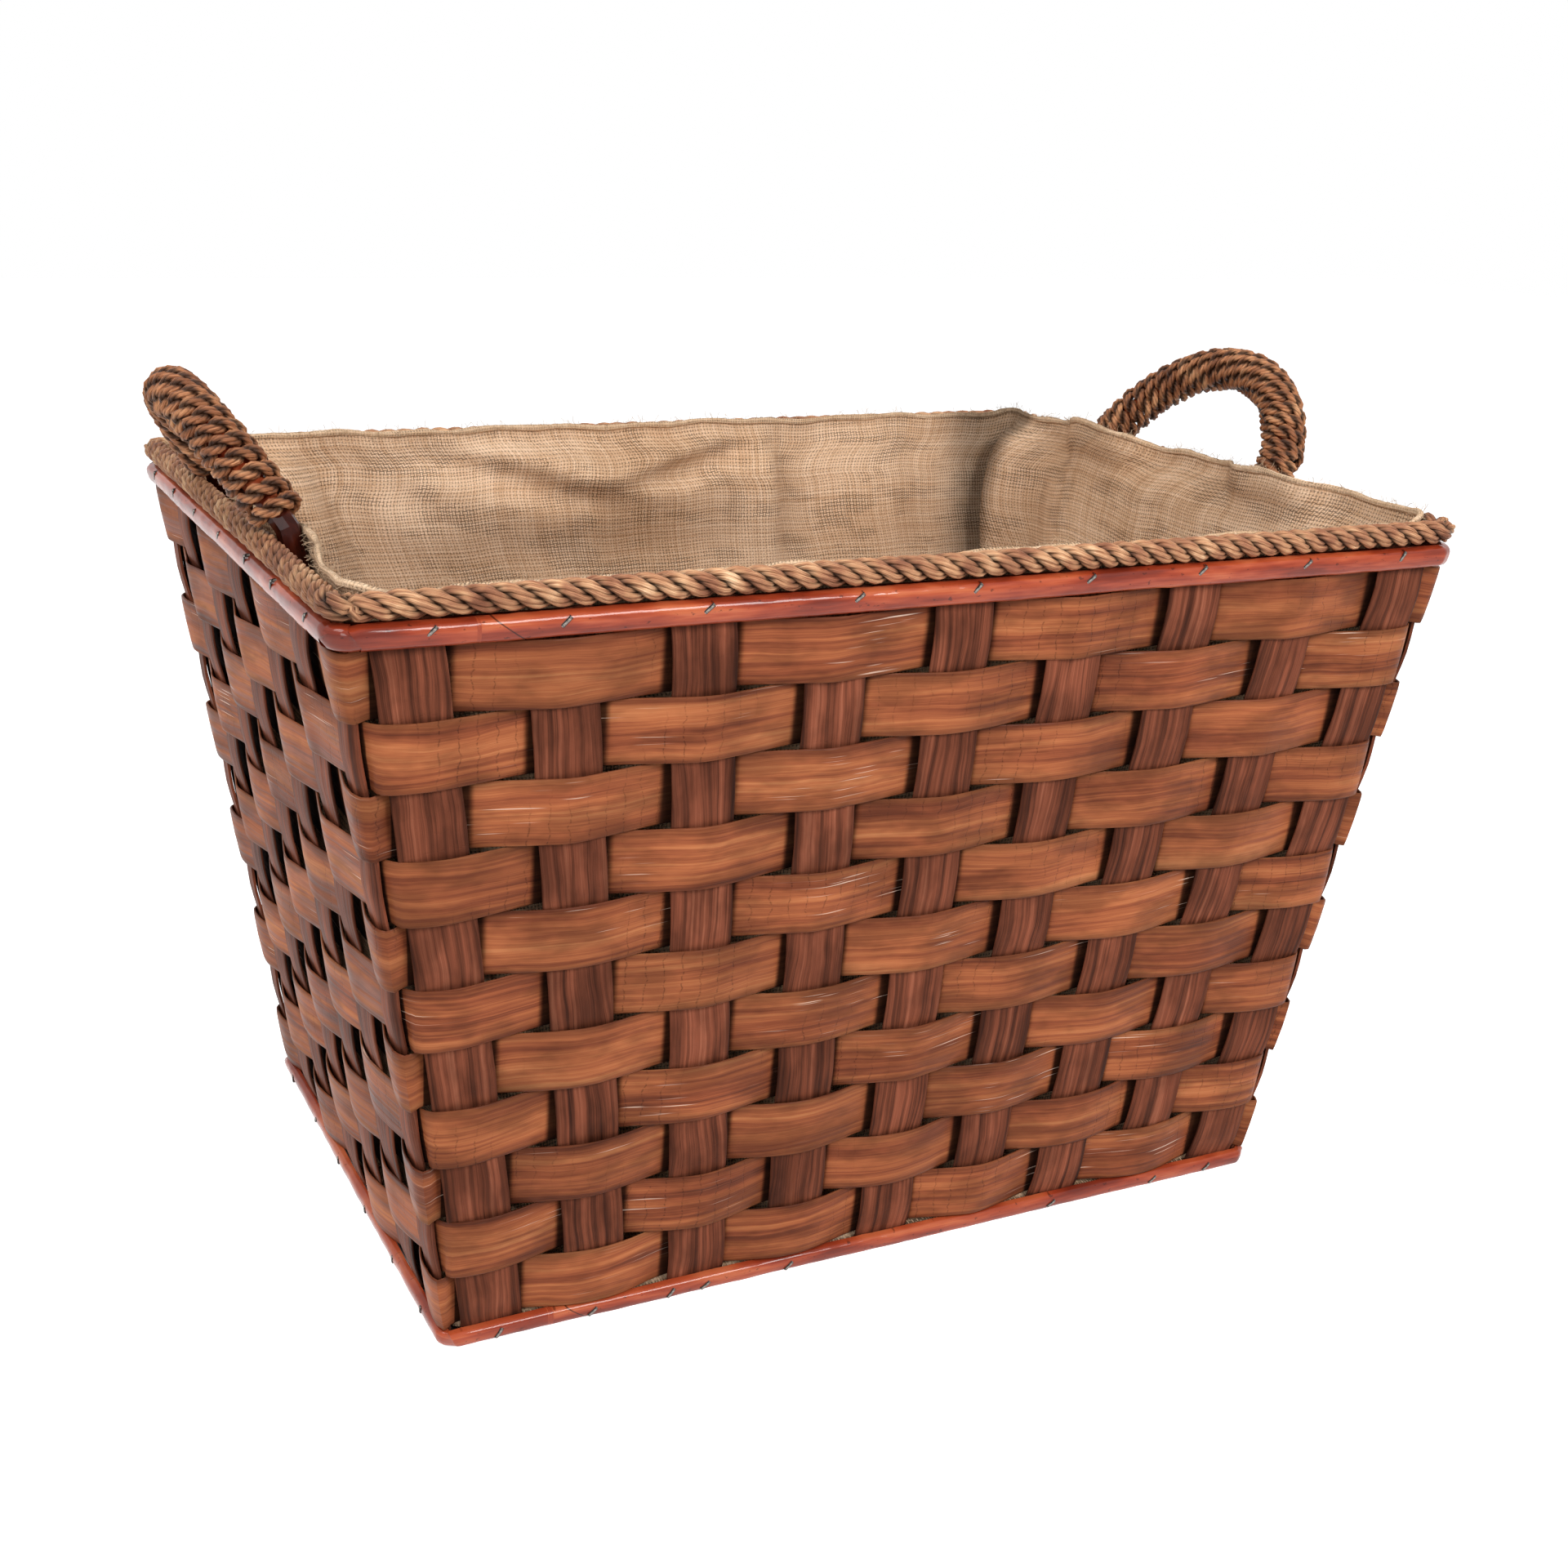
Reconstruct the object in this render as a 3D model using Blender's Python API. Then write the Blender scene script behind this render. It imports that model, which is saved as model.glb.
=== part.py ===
# Woven wood log basket: flat splint stakes and weavers, cane bands at foot and rim, a rope laid
# on the rim, two cane hoop handles wound with thin rope, and a burlap liner.
# Metres, +Z up. The origin is on the floor under the middle of the basket, +X along its length.

import math

import bpy
import bmesh
from mathutils import Vector

# Driving dimensions of the woven body
BASE_HALF_LENGTH = 0.2245    # middle of the wall at floor level
BASE_HALF_DEPTH = 0.1535
WEAVE_HEIGHT = 0.3333        # from the foot band to the rim band
END_LEAN = math.radians(8.2)
SIDE_LEAN = math.radians(7.15)
FOOT_CORNER_RADIUS = 0.0048
CORNER_FLARE = 0.0130        # corner radius gained for each metre of height
STRIP_WIDTH = 0.030
CORNER_STRIP_WIDTH = 0.018   # strip folded round each corner
STAKE_THICKNESS = 0.0014
WEAVER_THICKNESS = 0.0012
WEAVER_BOW = 0.0024          # how far a weaver arches off the stake that it crosses outside
ROWS = 11
ROW_GAP = 0.0004
LONG_STAKES = 9
CROSS_STAKES = 5
CORNER_STAKE_START = math.radians(45.0)    # where that strip starts, turned from the long wall
CORNER_LEAD = math.radians(8.0)    # how far a weaver runs level past a corner stake's edge
END_LEAD = 0.0008            # the same past the outer edge of a wall's first or last stake
BASE_HEIGHT = 0.0042         # middle of the woven base above the floor
STAKE_BEND_RADIUS = 0.0045
CLEARANCE = 0.0003

# Driving dimensions of the bands and the rim rope
FOOT_BAND_HEIGHT = 0.0085
FOOT_BAND_DEPTH = 0.0045
FOOT_BAND_FLAT = 0.0025      # width of the flat that the basket stands on
RIM_BAND_HEIGHT = 0.0105
RIM_BAND_DEPTH = 0.0055
INNER_BAND_DEPTH = 0.0040
RIM_ROPE_DIAMETER = 0.012

# Driving dimensions of the handles
HOOP_RADIUS = 0.081
HOOP_CENTRE_DROP = 0.018     # centre of the hoop below the middle of the rim rope
HANDLE_LEAN = math.radians(33.0)
HANDLE_BEND_START = 0.003    # above the middle of the rim rope
HANDLE_BEND_RADIUS = 0.020
CORE_DIAMETER = 0.011
LEG_DEPTH = 0.092            # length of each leg below the middle of the rim rope
WRAP_DIAMETER = 0.0066
WRAP_LOOPS = 22.5
WRAP_LIFT = 0.0058           # first loop is square to the hoop, so it stands this much higher

# Driving dimensions of the liner
LINER_THICKNESS = 0.0016
LINER_HEM_HEIGHT = 0.0045    # top of the hem above the middle of the rim rope
LINER_WALL_OFFSET = 0.0050   # least inset of its outer face from the middle of the wall
LINER_FOLD_DEPTH = 0.0085
BROAD_FOLD_LENGTH = 0.134    # from fold to fold along a wall
NARROW_FOLD_LENGTH = 0.076
BROAD_FOLD_SHARE = 0.31      # of the fold depth; with the narrow folds' share it makes a half
NARROW_FOLD_SHARE = 0.19
BROAD_FOLD_SHIFT = 1.9       # radians from one wall to the next
NARROW_FOLD_SHIFT = 0.7
RIM_PRESS_DEPTH = 0.030      # below the rim band, where the liner starts to lean on the rim
RIM_PRESS_LENGTH = 0.025
POUCH_DEPTH = 0.050          # below a handle leg's end, where the liner starts to bulge over it
POUCH_LENGTH = 0.040
POUCH_EASE = 0.002           # slack of the liner beside the rope on a leg

# Faces of round pieces
CORNER_STEPS = 4
BAND_PROFILE_STEPS = 7
STAKE_BEND_STEPS = 2
TUBE_BEVEL_RESOLUTION = 2
WRAP_POINTS_PER_LOOP = 10
WRAP_BEVEL_RESOLUTION = 1
HOOP_STEPS = 20
LINER_WALL_STEPS = 14
POUCH_STEPS = 2
POUCH_GAP_STEPS = 3
SMOOTH_ANGLE = math.radians(50)
TANGENT_STEP = 0.0001        # radians, for the direction of the hoop at a point

# Sizes worked out from the driving dimensions
ROW_HEIGHT = WEAVE_HEIGHT / ROWS
WEAVE_OFFSET = STAKE_THICKNESS / 2 + CLEARANCE + WEAVER_THICKNESS / 2
STAKE_FACE = STAKE_THICKNESS / 2 + CLEARANCE
WEAVE_FOOT = FOOT_BAND_HEIGHT + CLEARANCE
RIM_FOOT = WEAVE_FOOT + WEAVE_HEIGHT + CLEARANCE
RIM_TOP = RIM_FOOT + RIM_BAND_HEIGHT
ROPE_HEIGHT = RIM_TOP + CLEARANCE + RIM_ROPE_DIAMETER / 2
INNER_BAND_FACE = STAKE_FACE + INNER_BAND_DEPTH
LEG_OFFSET = max(INNER_BAND_FACE, RIM_ROPE_DIAMETER / 2) + CLEARANCE + CORE_DIAMETER / 2
LEG_FOOT = ROPE_HEIGHT - LEG_DEPTH
WRAP_START = (RIM_ROPE_DIAMETER + WRAP_DIAMETER) / 2 + CLEARANCE + WRAP_LIFT
POUCH_PLACE = math.sqrt(HOOP_RADIUS ** 2 - HOOP_CENTRE_DROP ** 2)    # the hoop at the rim
POUCH_HALF_WIDTH = CORE_DIAMETER / 2 + WRAP_DIAMETER + POUCH_EASE
POUCH_INSET = LEG_OFFSET + CORE_DIAMETER / 2 + 2 * CLEARANCE
BASE_TOP = BASE_HEIGHT + STAKE_THICKNESS + CLEARANCE / 2

# The four walls in order round the basket, seen from above: along it, outwards, and its stakes
FRONT, RIGHT, BACK, LEFT = range(4)
ALONG = [Vector((1, 0)), Vector((0, 1)), Vector((-1, 0)), Vector((0, -1))]
OUTWARDS = [Vector((0, -1)), Vector((1, 0)), Vector((0, 1)), Vector((-1, 0))]
STAKES_ON = [LONG_STAKES, CROSS_STAKES, LONG_STAKES, CROSS_STAKES]


def half_length(z):
    return BASE_HALF_LENGTH + z * math.tan(END_LEAN)


def half_depth(z):
    return BASE_HALF_DEPTH + z * math.tan(SIDE_LEAN)


def corner_radius(z):
    return FOOT_CORNER_RADIUS + CORNER_FLARE * z


def wall_reach(wall, z):
    """Half the wall's length, and its distance from the middle of the basket."""
    if wall in (FRONT, BACK):
        return half_length(z), half_depth(z)
    return half_depth(z), half_length(z)


def wall_point(wall, along, outside, z):
    """Point in plan: along the wall, and outside its middle surface."""
    reach, distance = wall_reach(wall, z)
    return ALONG[wall] * along + OUTWARDS[wall] * (distance + outside)


def corner_point(wall, angle, outside, z):
    """Point in plan on the rounded corner after a wall, turned by an angle from that wall."""
    reach, distance = wall_reach(wall, z)
    radius = corner_radius(z)
    centre = ALONG[wall] * (reach - radius) + OUTWARDS[wall] * (distance - radius)
    direction = OUTWARDS[wall] * math.cos(angle) + ALONG[wall] * math.sin(angle)
    return centre + direction * (radius + outside)


def corner_tail(z):
    """Flat part on the end wall of the strip that is folded round a corner."""
    return CORNER_STRIP_WIDTH - (math.pi / 2 - CORNER_STAKE_START) * corner_radius(z)


def stake_pitch(wall, z):
    """Outer stakes end at the long wall's corners; on an end wall all gaps are the same."""
    reach, _ = wall_reach(wall, z)
    flat = reach - corner_radius(z)
    if wall in (FRONT, BACK):
        return (2 * (flat - END_LEAD) - STRIP_WIDTH) / (STAKES_ON[wall] - 1)
    return (2 * (flat - corner_tail(z)) + STRIP_WIDTH) / (STAKES_ON[wall] + 1)


def stake_place(wall, index, z):
    """Where a stake's middle stands along its wall."""
    return (index - (STAKES_ON[wall] - 1) / 2) * stake_pitch(wall, z)


# Meshes

def add_object(name, bm, material, smooth=False):
    bmesh.ops.recalc_face_normals(bm, faces=bm.faces)
    mesh = bpy.data.meshes.new(name)
    bm.to_mesh(mesh)
    bm.free()
    mesh.materials.append(material)
    if smooth:
        mesh.shade_smooth()
        mesh.set_sharp_from_angle(angle=SMOOTH_ANGLE)
    part = bpy.data.objects.new(name, mesh)
    bpy.context.scene.collection.objects.link(part)
    return part


def loft(sections, closed):
    """Solid through a row of like sections: a closed ring, or a length with capped ends."""
    bm = bmesh.new()
    rings = [[bm.verts.new(point) for point in section] for section in sections]
    pairs = list(zip(rings, rings[1:]))
    if closed:
        pairs.append((rings[-1], rings[0]))
    for first, second in pairs:
        count = len(first)
        for i in range(count):
            j = (i + 1) % count
            bm.faces.new((first[i], first[j], second[j], second[i]))
    if not closed:
        bm.faces.new(rings[0])
        bm.faces.new(rings[-1])
    return bm


def path_normals(points, closed):
    """Normals in plan at each point, lengthened at bends so that an offset keeps its width."""
    count = len(points)
    normals = []
    for i in range(count):
        before = points[i] - points[i - 1] if closed or i > 0 else points[1] - points[0]
        after = points[(i + 1) % count] - points[i] if closed or i < count - 1 else before
        before = before.normalized()
        after = after.normalized()
        middle = (before + after).normalized()
        normals.append(Vector((middle.y, -middle.x)) / middle.dot(before))
    return normals


def offset_path(points, distance, closed):
    return [p + n * distance for p, n in zip(points, path_normals(points, closed))]


def rounded_bend(before, bend, after, radius):
    """Points of the arc that rounds one bend of a flat path."""
    back = (before - bend).normalized()
    ahead = (after - bend).normalized()
    half_angle = back.angle(ahead) / 2
    centre = bend + (back + ahead).normalized() * (radius / math.sin(half_angle))
    start = bend + back * (radius / math.tan(half_angle)) - centre
    end = bend + ahead * (radius / math.tan(half_angle)) - centre
    turn = start.angle_signed(end)
    arc = []
    for step in range(STAKE_BEND_STEPS + 1):
        angle = -turn * step / STAKE_BEND_STEPS
        cosine, sine = math.cos(angle), math.sin(angle)
        arc.append(centre + Vector((start.x * cosine - start.y * sine,
                                    start.x * sine + start.y * cosine)))
    return arc


def paint(name, colour, roughness, metallic=0.0):
    material = bpy.data.materials.new(name)
    material.use_nodes = True
    shader = material.node_tree.nodes["Principled BSDF"]
    shader.inputs["Base Color"].default_value = (*colour, 1.0)
    shader.inputs["Roughness"].default_value = roughness
    shader.inputs["Metallic"].default_value = metallic
    return material


# Weavers: one closed ring of splint for each row

def corner_angles(lead):
    """Turns from the long wall at which a corner stake, or the weaver on it, is set out."""
    middle = (CORNER_STAKE_START + math.pi / 2) / 2
    angles = [CORNER_STAKE_START, middle, math.pi / 2]
    return [CORNER_STAKE_START - lead] + angles if lead else angles


def corner_stations(wall, outside, z, lead=0.0):
    """Points in plan over the corner stake after a wall, in order round the basket."""
    next_wall = (wall + 1) % len(ALONG)
    if wall in (FRONT, BACK):
        points = [corner_point(wall, angle, outside, z) for angle in corner_angles(lead)]
        reach, _ = wall_reach(next_wall, z)
        tail = -(reach - corner_radius(z)) + corner_tail(z)
        points.append(wall_point(next_wall, tail, outside, z))
        return points
    reach, _ = wall_reach(wall, z)
    tail = reach - corner_radius(z) - corner_tail(z)
    points = [wall_point(wall, tail, outside, z)]
    for angle in reversed(corner_angles(lead)):
        points.append(corner_point(wall, math.pi / 2 - angle, outside, z))
    return points


def weaver_path(row, z):
    """Middle line in plan of a row's weaver, over one stake and behind the next."""
    points = []
    for wall in range(4):
        last = STAKES_ON[wall] - 1
        for index in range(last + 1):
            place = stake_place(wall, index, z)
            goes_outside = (index + row) % 2 == 0
            side = WEAVE_OFFSET if goes_outside else -WEAVE_OFFSET
            before = STRIP_WIDTH / 2 + (END_LEAD if index == 0 else 0)
            after = STRIP_WIDTH / 2 + (END_LEAD if index == last else 0)
            points.append(wall_point(wall, place - before, side, z))
            if goes_outside:
                points.append(wall_point(wall, place, side + WEAVER_BOW, z))
            points.append(wall_point(wall, place + after, side, z))
        corner_side = WEAVE_OFFSET if row % 2 == 1 else -WEAVE_OFFSET
        points.extend(corner_stations(wall, corner_side, z, CORNER_LEAD))
    return points


def make_weaver(row, material):
    """Rows are numbered from the rim, as they are seen."""
    foot = WEAVE_FOOT + (ROWS - row) * ROW_HEIGHT
    edges = []
    for z in (foot, foot + ROW_HEIGHT - ROW_GAP):
        path = weaver_path(row, z)
        for distance in (-WEAVER_THICKNESS / 2, WEAVER_THICKNESS / 2):
            edges.append([p.to_3d() + Vector((0, 0, z)) for p in offset_path(path, distance, True)])
    low_inner, low_outer, high_inner, high_outer = edges
    sections = zip(low_inner, low_outer, high_outer, high_inner)
    add_object(f"weaver_row_{row:02d}", loft(list(sections), True), material)


# Stakes: each runs down one wall, across the woven base and up the opposite wall

def stake_profile(crossed_wall, goes_over_first):
    """Flat path of a stake, across the base and up both walls; it crosses that wall's stakes."""
    across = []
    for index in range(STAKES_ON[crossed_wall]):
        place = stake_place(crossed_wall, index, BASE_HEIGHT)
        step = (STAKE_THICKNESS + CLEARANCE) / 2
        goes_over = (index % 2 == 0) == goes_over_first
        height = BASE_HEIGHT + (step if goes_over else -step)
        across.append(Vector((place - STRIP_WIDTH / 2, height)))
        across.append(Vector((place + STRIP_WIDTH / 2, height)))
    bend_reach, _ = wall_reach(crossed_wall, BASE_HEIGHT)
    top_reach, _ = wall_reach(crossed_wall, RIM_TOP)
    left_bend = Vector((-bend_reach, BASE_HEIGHT))
    right_bend = Vector((bend_reach, BASE_HEIGHT))
    left_top = Vector((-top_reach, RIM_TOP))
    right_top = Vector((top_reach, RIM_TOP))
    path = [left_top]
    path += rounded_bend(left_top, left_bend, across[0], STAKE_BEND_RADIUS)
    path += across
    path += rounded_bend(across[-1], right_bend, right_top, STAKE_BEND_RADIUS)
    path.append(right_top)
    return path


def make_stake(name, wall, index, material):
    """A stake with its place along the given wall; it fans out with the wall's height."""
    crossed_wall = RIGHT if wall == FRONT else FRONT
    goes_over_first = (index % 2 == 0) == (wall == FRONT)
    profile = stake_profile(crossed_wall, goes_over_first)
    lower = offset_path(profile, STAKE_THICKNESS / 2, False)
    upper = offset_path(profile, -STAKE_THICKNESS / 2, False)
    sections = []
    for under, over, middle in zip(lower, upper, profile):
        section = []
        for point, side in ((under, -1), (under, 1), (over, 1), (over, -1)):
            height = max(middle.y, BASE_HEIGHT)
            place = stake_place(wall, index, height) + side * STRIP_WIDTH / 2
            if wall == FRONT:
                section.append(Vector((place, point.x, point.y)))
            else:
                section.append(Vector((point.x, place, point.y)))
        sections.append(section)
    add_object(name, loft(sections, False), material)


def make_corner_stake(name, wall, material):
    """A stake folded round one corner, from the foot band to the top of the rim band."""
    sections = []
    for z in (BASE_HEIGHT, RIM_TOP):
        outer = corner_stations(wall, STAKE_THICKNESS / 2, z)
        inner = corner_stations(wall, -STAKE_THICKNESS / 2, z)
        sections.append([p.to_3d() + Vector((0, 0, z)) for p in outer + inner[::-1]])
    add_object(name, loft(sections, False), material)


# Bands: half-round cane bent round the wall

def ring_path(z, outside):
    """Rounded rectangle in plan at one height, outside the middle of the wall."""
    points = []
    for wall in range(4):
        for step in range(CORNER_STEPS + 1):
            angle = math.pi / 2 * step / CORNER_STEPS
            points.append(corner_point(wall, angle, outside, z))
    return points


def make_band(name, foot, height, face, depth, flat, material):
    """Half-round band, back to the wall; a negative depth puts it inside, a flat is underneath."""
    start = -math.acos(flat / abs(depth))
    half_height = height / (1 - math.sin(start))
    profile = [(face, foot)] if flat else []
    for step in range(BAND_PROFILE_STEPS + 1):
        angle = start + (math.pi / 2 - start) * step / BAND_PROFILE_STEPS
        level = foot + height - half_height * (1 - math.sin(angle))
        profile.append((face + depth * math.cos(angle), level))
    rings = []
    for outside, z in profile:
        rings.append([p.to_3d() + Vector((0, 0, z)) for p in ring_path(z, outside)])
    add_object(name, loft(list(zip(*rings)), True), material, smooth=True)


def make_tube(name, points, diameter, resolution, closed, material):
    curve = bpy.data.curves.new(name, "CURVE")
    curve.dimensions = "3D"
    curve.bevel_depth = diameter / 2
    curve.bevel_resolution = resolution
    curve.use_fill_caps = not closed
    spline = curve.splines.new("POLY")
    spline.points.add(len(points) - 1)
    for target, point in zip(spline.points, points):
        target.co = Vector(point).to_4d()
    spline.use_cyclic_u = closed
    curve.materials.append(material)
    tube = bpy.data.objects.new(name, curve)
    bpy.context.scene.collection.objects.link(tube)
    return tube


# Handles: a cane hoop with legs inside the wall, wound with rope above the rim

def handle_lean(climb):
    """A handle leans as its wall does beside the rim rope, and bends further outwards above it."""
    return min(END_LEAN + max(climb - HANDLE_BEND_START, 0) / HANDLE_BEND_RADIUS, HANDLE_LEAN)


def leaning_point(side, across, climb):
    """Point of the handle's leaning surface: across it, and climbing it from the rim rope."""
    beside_wall = min(climb, HANDLE_BEND_START)
    outwards = half_length(ROPE_HEIGHT) - LEG_OFFSET + beside_wall * math.sin(END_LEAN)
    height = ROPE_HEIGHT + beside_wall * math.cos(END_LEAN)
    lean = handle_lean(climb)
    straight = climb - beside_wall - HANDLE_BEND_RADIUS * (lean - END_LEAN)
    outwards += HANDLE_BEND_RADIUS * (math.cos(END_LEAN) - math.cos(lean))
    outwards += straight * math.sin(lean)
    height += HANDLE_BEND_RADIUS * (math.sin(lean) - math.sin(END_LEAN))
    height += straight * math.cos(lean)
    return Vector((side * outwards, across, height))


def hoop_climb(angle):
    return HOOP_RADIUS * math.sin(angle) - HOOP_CENTRE_DROP


def hoop_point(side, angle):
    return leaning_point(side, HOOP_RADIUS * math.cos(angle), hoop_climb(angle))


def hoop_direction(side, angle):
    return (hoop_point(side, angle + TANGENT_STEP) - hoop_point(side, angle - TANGENT_STEP)).normalized()


def make_handle_core(name, side, material):
    points = [leaning_point(side, HOOP_RADIUS, -LEG_DEPTH)]
    for step in range(HOOP_STEPS + 1):
        points.append(hoop_point(side, math.pi * step / HOOP_STEPS))
    points.append(leaning_point(side, -HOOP_RADIUS, -LEG_DEPTH))
    return make_tube(name, points, CORE_DIAMETER, TUBE_BEVEL_RESOLUTION, False, material)


def wrap_points(side):
    """One unbroken left-hand helix round the hoop, with a short straight end down each leg."""
    start = math.asin((WRAP_START + HOOP_CENTRE_DROP) / HOOP_RADIUS)
    end = math.pi - start
    radius = (CORE_DIAMETER + WRAP_DIAMETER) / 2 + CLEARANCE
    corner_radius_of_loop = radius / math.cos(math.pi / WRAP_POINTS_PER_LOOP)
    count = round(WRAP_LOOPS * WRAP_POINTS_PER_LOOP)
    helix = []
    for i in range(count + 1):
        angle = start + (end - start) * i / count
        lean = handle_lean(hoop_climb(angle))
        inwards = Vector((-side * math.cos(lean), 0, math.sin(lean)))
        sideways = inwards.cross(hoop_direction(side, angle))
        turn = math.pi / 2 + 2 * math.pi * i / WRAP_POINTS_PER_LOOP
        arm = inwards * math.cos(turn) + sideways * math.sin(turn)
        helix.append(hoop_point(side, angle) + arm * corner_radius_of_loop)
    first_end = helix[0] - hoop_direction(side, start) * WRAP_DIAMETER
    last_end = helix[-1] + hoop_direction(side, end) * WRAP_DIAMETER
    return [first_end] + helix + [last_end]


def least_gap(points, diameter, skip):
    """Least free gap between parts of a tube at least skip points apart, on points and middles."""
    samples = []
    for first, second in zip(points, points[1:]):
        samples.append(first)
        samples.append((first + second) / 2)
    gap = math.inf
    for i, first in enumerate(samples):
        for second in samples[i + 2 * skip:]:
            gap = min(gap, (first - second).length - diameter)
    return gap


def make_handle_wrap(name, side, material):
    points = wrap_points(side)
    gap = least_gap(points, WRAP_DIAMETER, WRAP_POINTS_PER_LOOP // 2)
    print(f"{name}: {WRAP_LOOPS} loops, least gap to itself {gap * 1000:.2f} mm")
    return make_tube(name, points, WRAP_DIAMETER, WRAP_BEVEL_RESOLUTION, False, material)


# Liner: an open bag of burlap that hangs from its hem inside the rim

def ease(value):
    """Smooth step from 0 to 1."""
    value = min(max(value, 0.0), 1.0)
    return value * value * (3 - 2 * value)


def spread(start, end, steps):
    """Evenly spaced places after a start, up to and with an end."""
    return [start + (end - start) * (i + 1) / steps for i in range(steps)]


def liner_places(wall, z):
    """Where the liner's stations stand along a wall, closer together over the handle's legs."""
    reach, _ = wall_reach(wall, z)
    flat = reach - corner_radius(z)
    if wall in (FRONT, BACK):
        return [-flat] + spread(-flat, flat, LINER_WALL_STEPS)
    pouch_start = POUCH_PLACE - 2 * POUCH_HALF_WIDTH
    pouch_end = POUCH_PLACE + 2 * POUCH_HALF_WIDTH
    places = spread(0.0, pouch_start, POUCH_GAP_STEPS)
    places += spread(pouch_start, pouch_end, 2 * POUCH_STEPS)
    places += spread(pouch_end, flat, POUCH_GAP_STEPS)
    return [-place for place in reversed(places)] + [0.0] + places


def liner_inset(wall, place, z):
    """How far the liner's outer face hangs inside the middle of the wall."""
    rim_inset = RIM_ROPE_DIAMETER / 2 + CLEARANCE
    pressed = ease((z - RIM_FOOT + RIM_PRESS_DEPTH) / RIM_PRESS_LENGTH)
    inset = LINER_WALL_OFFSET + (rim_inset - LINER_WALL_OFFSET) * pressed
    broad = math.cos(math.tau * place / BROAD_FOLD_LENGTH + BROAD_FOLD_SHIFT * wall)
    narrow = math.cos(math.tau * place / NARROW_FOLD_LENGTH + NARROW_FOLD_SHIFT * wall)
    fold = 1 / 2 + BROAD_FOLD_SHARE * broad + NARROW_FOLD_SHARE * narrow
    inset += LINER_FOLD_DEPTH * fold * (1 - pressed)
    if wall in (RIGHT, LEFT):
        beside_leg = abs(abs(place) - POUCH_PLACE) - POUCH_HALF_WIDTH
        cover = 1 - ease(beside_leg / POUCH_HALF_WIDTH)
        cover *= ease((z - LEG_FOOT + POUCH_DEPTH) / POUCH_LENGTH)
        inset += (POUCH_INSET - inset) * cover
    return inset


def liner_corner_inset(z):
    """The liner bridges each corner of the wall, and meets it only at the rim."""
    pressed = ease((z - RIM_FOOT + RIM_PRESS_DEPTH) / RIM_PRESS_LENGTH)
    hanging = LINER_WALL_OFFSET + LINER_FOLD_DEPTH
    return hanging + (RIM_ROPE_DIAMETER / 2 + CLEARANCE - hanging) * pressed


def liner_ring(z, thickness):
    """Ring of points on the outer face, or a thickness inside it."""
    ring = []
    for wall in range(4):
        for place in liner_places(wall, z):
            inset = liner_inset(wall, place, z) + thickness
            ring.append(wall_point(wall, place, -inset, z))
        ring.append(corner_point(wall, math.pi / 4, -liner_corner_inset(z) - thickness, z))
    return [point.to_3d() + Vector((0, 0, z)) for point in ring]


def make_liner(name, material):
    foot = BASE_TOP + CLEARANCE
    pouch_foot = LEG_FOOT - POUCH_DEPTH
    press_foot = RIM_FOOT - RIM_PRESS_DEPTH
    heights = [foot, (foot + pouch_foot) / 2, pouch_foot, pouch_foot + POUCH_LENGTH, press_foot,
               press_foot + RIM_PRESS_LENGTH, ROPE_HEIGHT + LINER_HEM_HEIGHT]
    bm = bmesh.new()
    layers = []
    for thickness in (0.0, LINER_THICKNESS):
        levels = [foot + thickness] + heights[1:]
        layers.append([[bm.verts.new(p) for p in liner_ring(z, thickness)] for z in levels])
    outer, inner = layers
    count = len(outer[0])
    for layer in layers:
        for low, high in zip(layer, layer[1:]):
            for i in range(count):
                j = (i + 1) % count
                bm.faces.new((low[i], low[j], high[j], high[i]))
        bm.faces.new(layer[0])
    for i in range(count):
        j = (i + 1) % count
        bm.faces.new((outer[-1][i], outer[-1][j], inner[-1][j], inner[-1][i]))
    return add_object(name, bm, material, smooth=True)


# The basket

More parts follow.
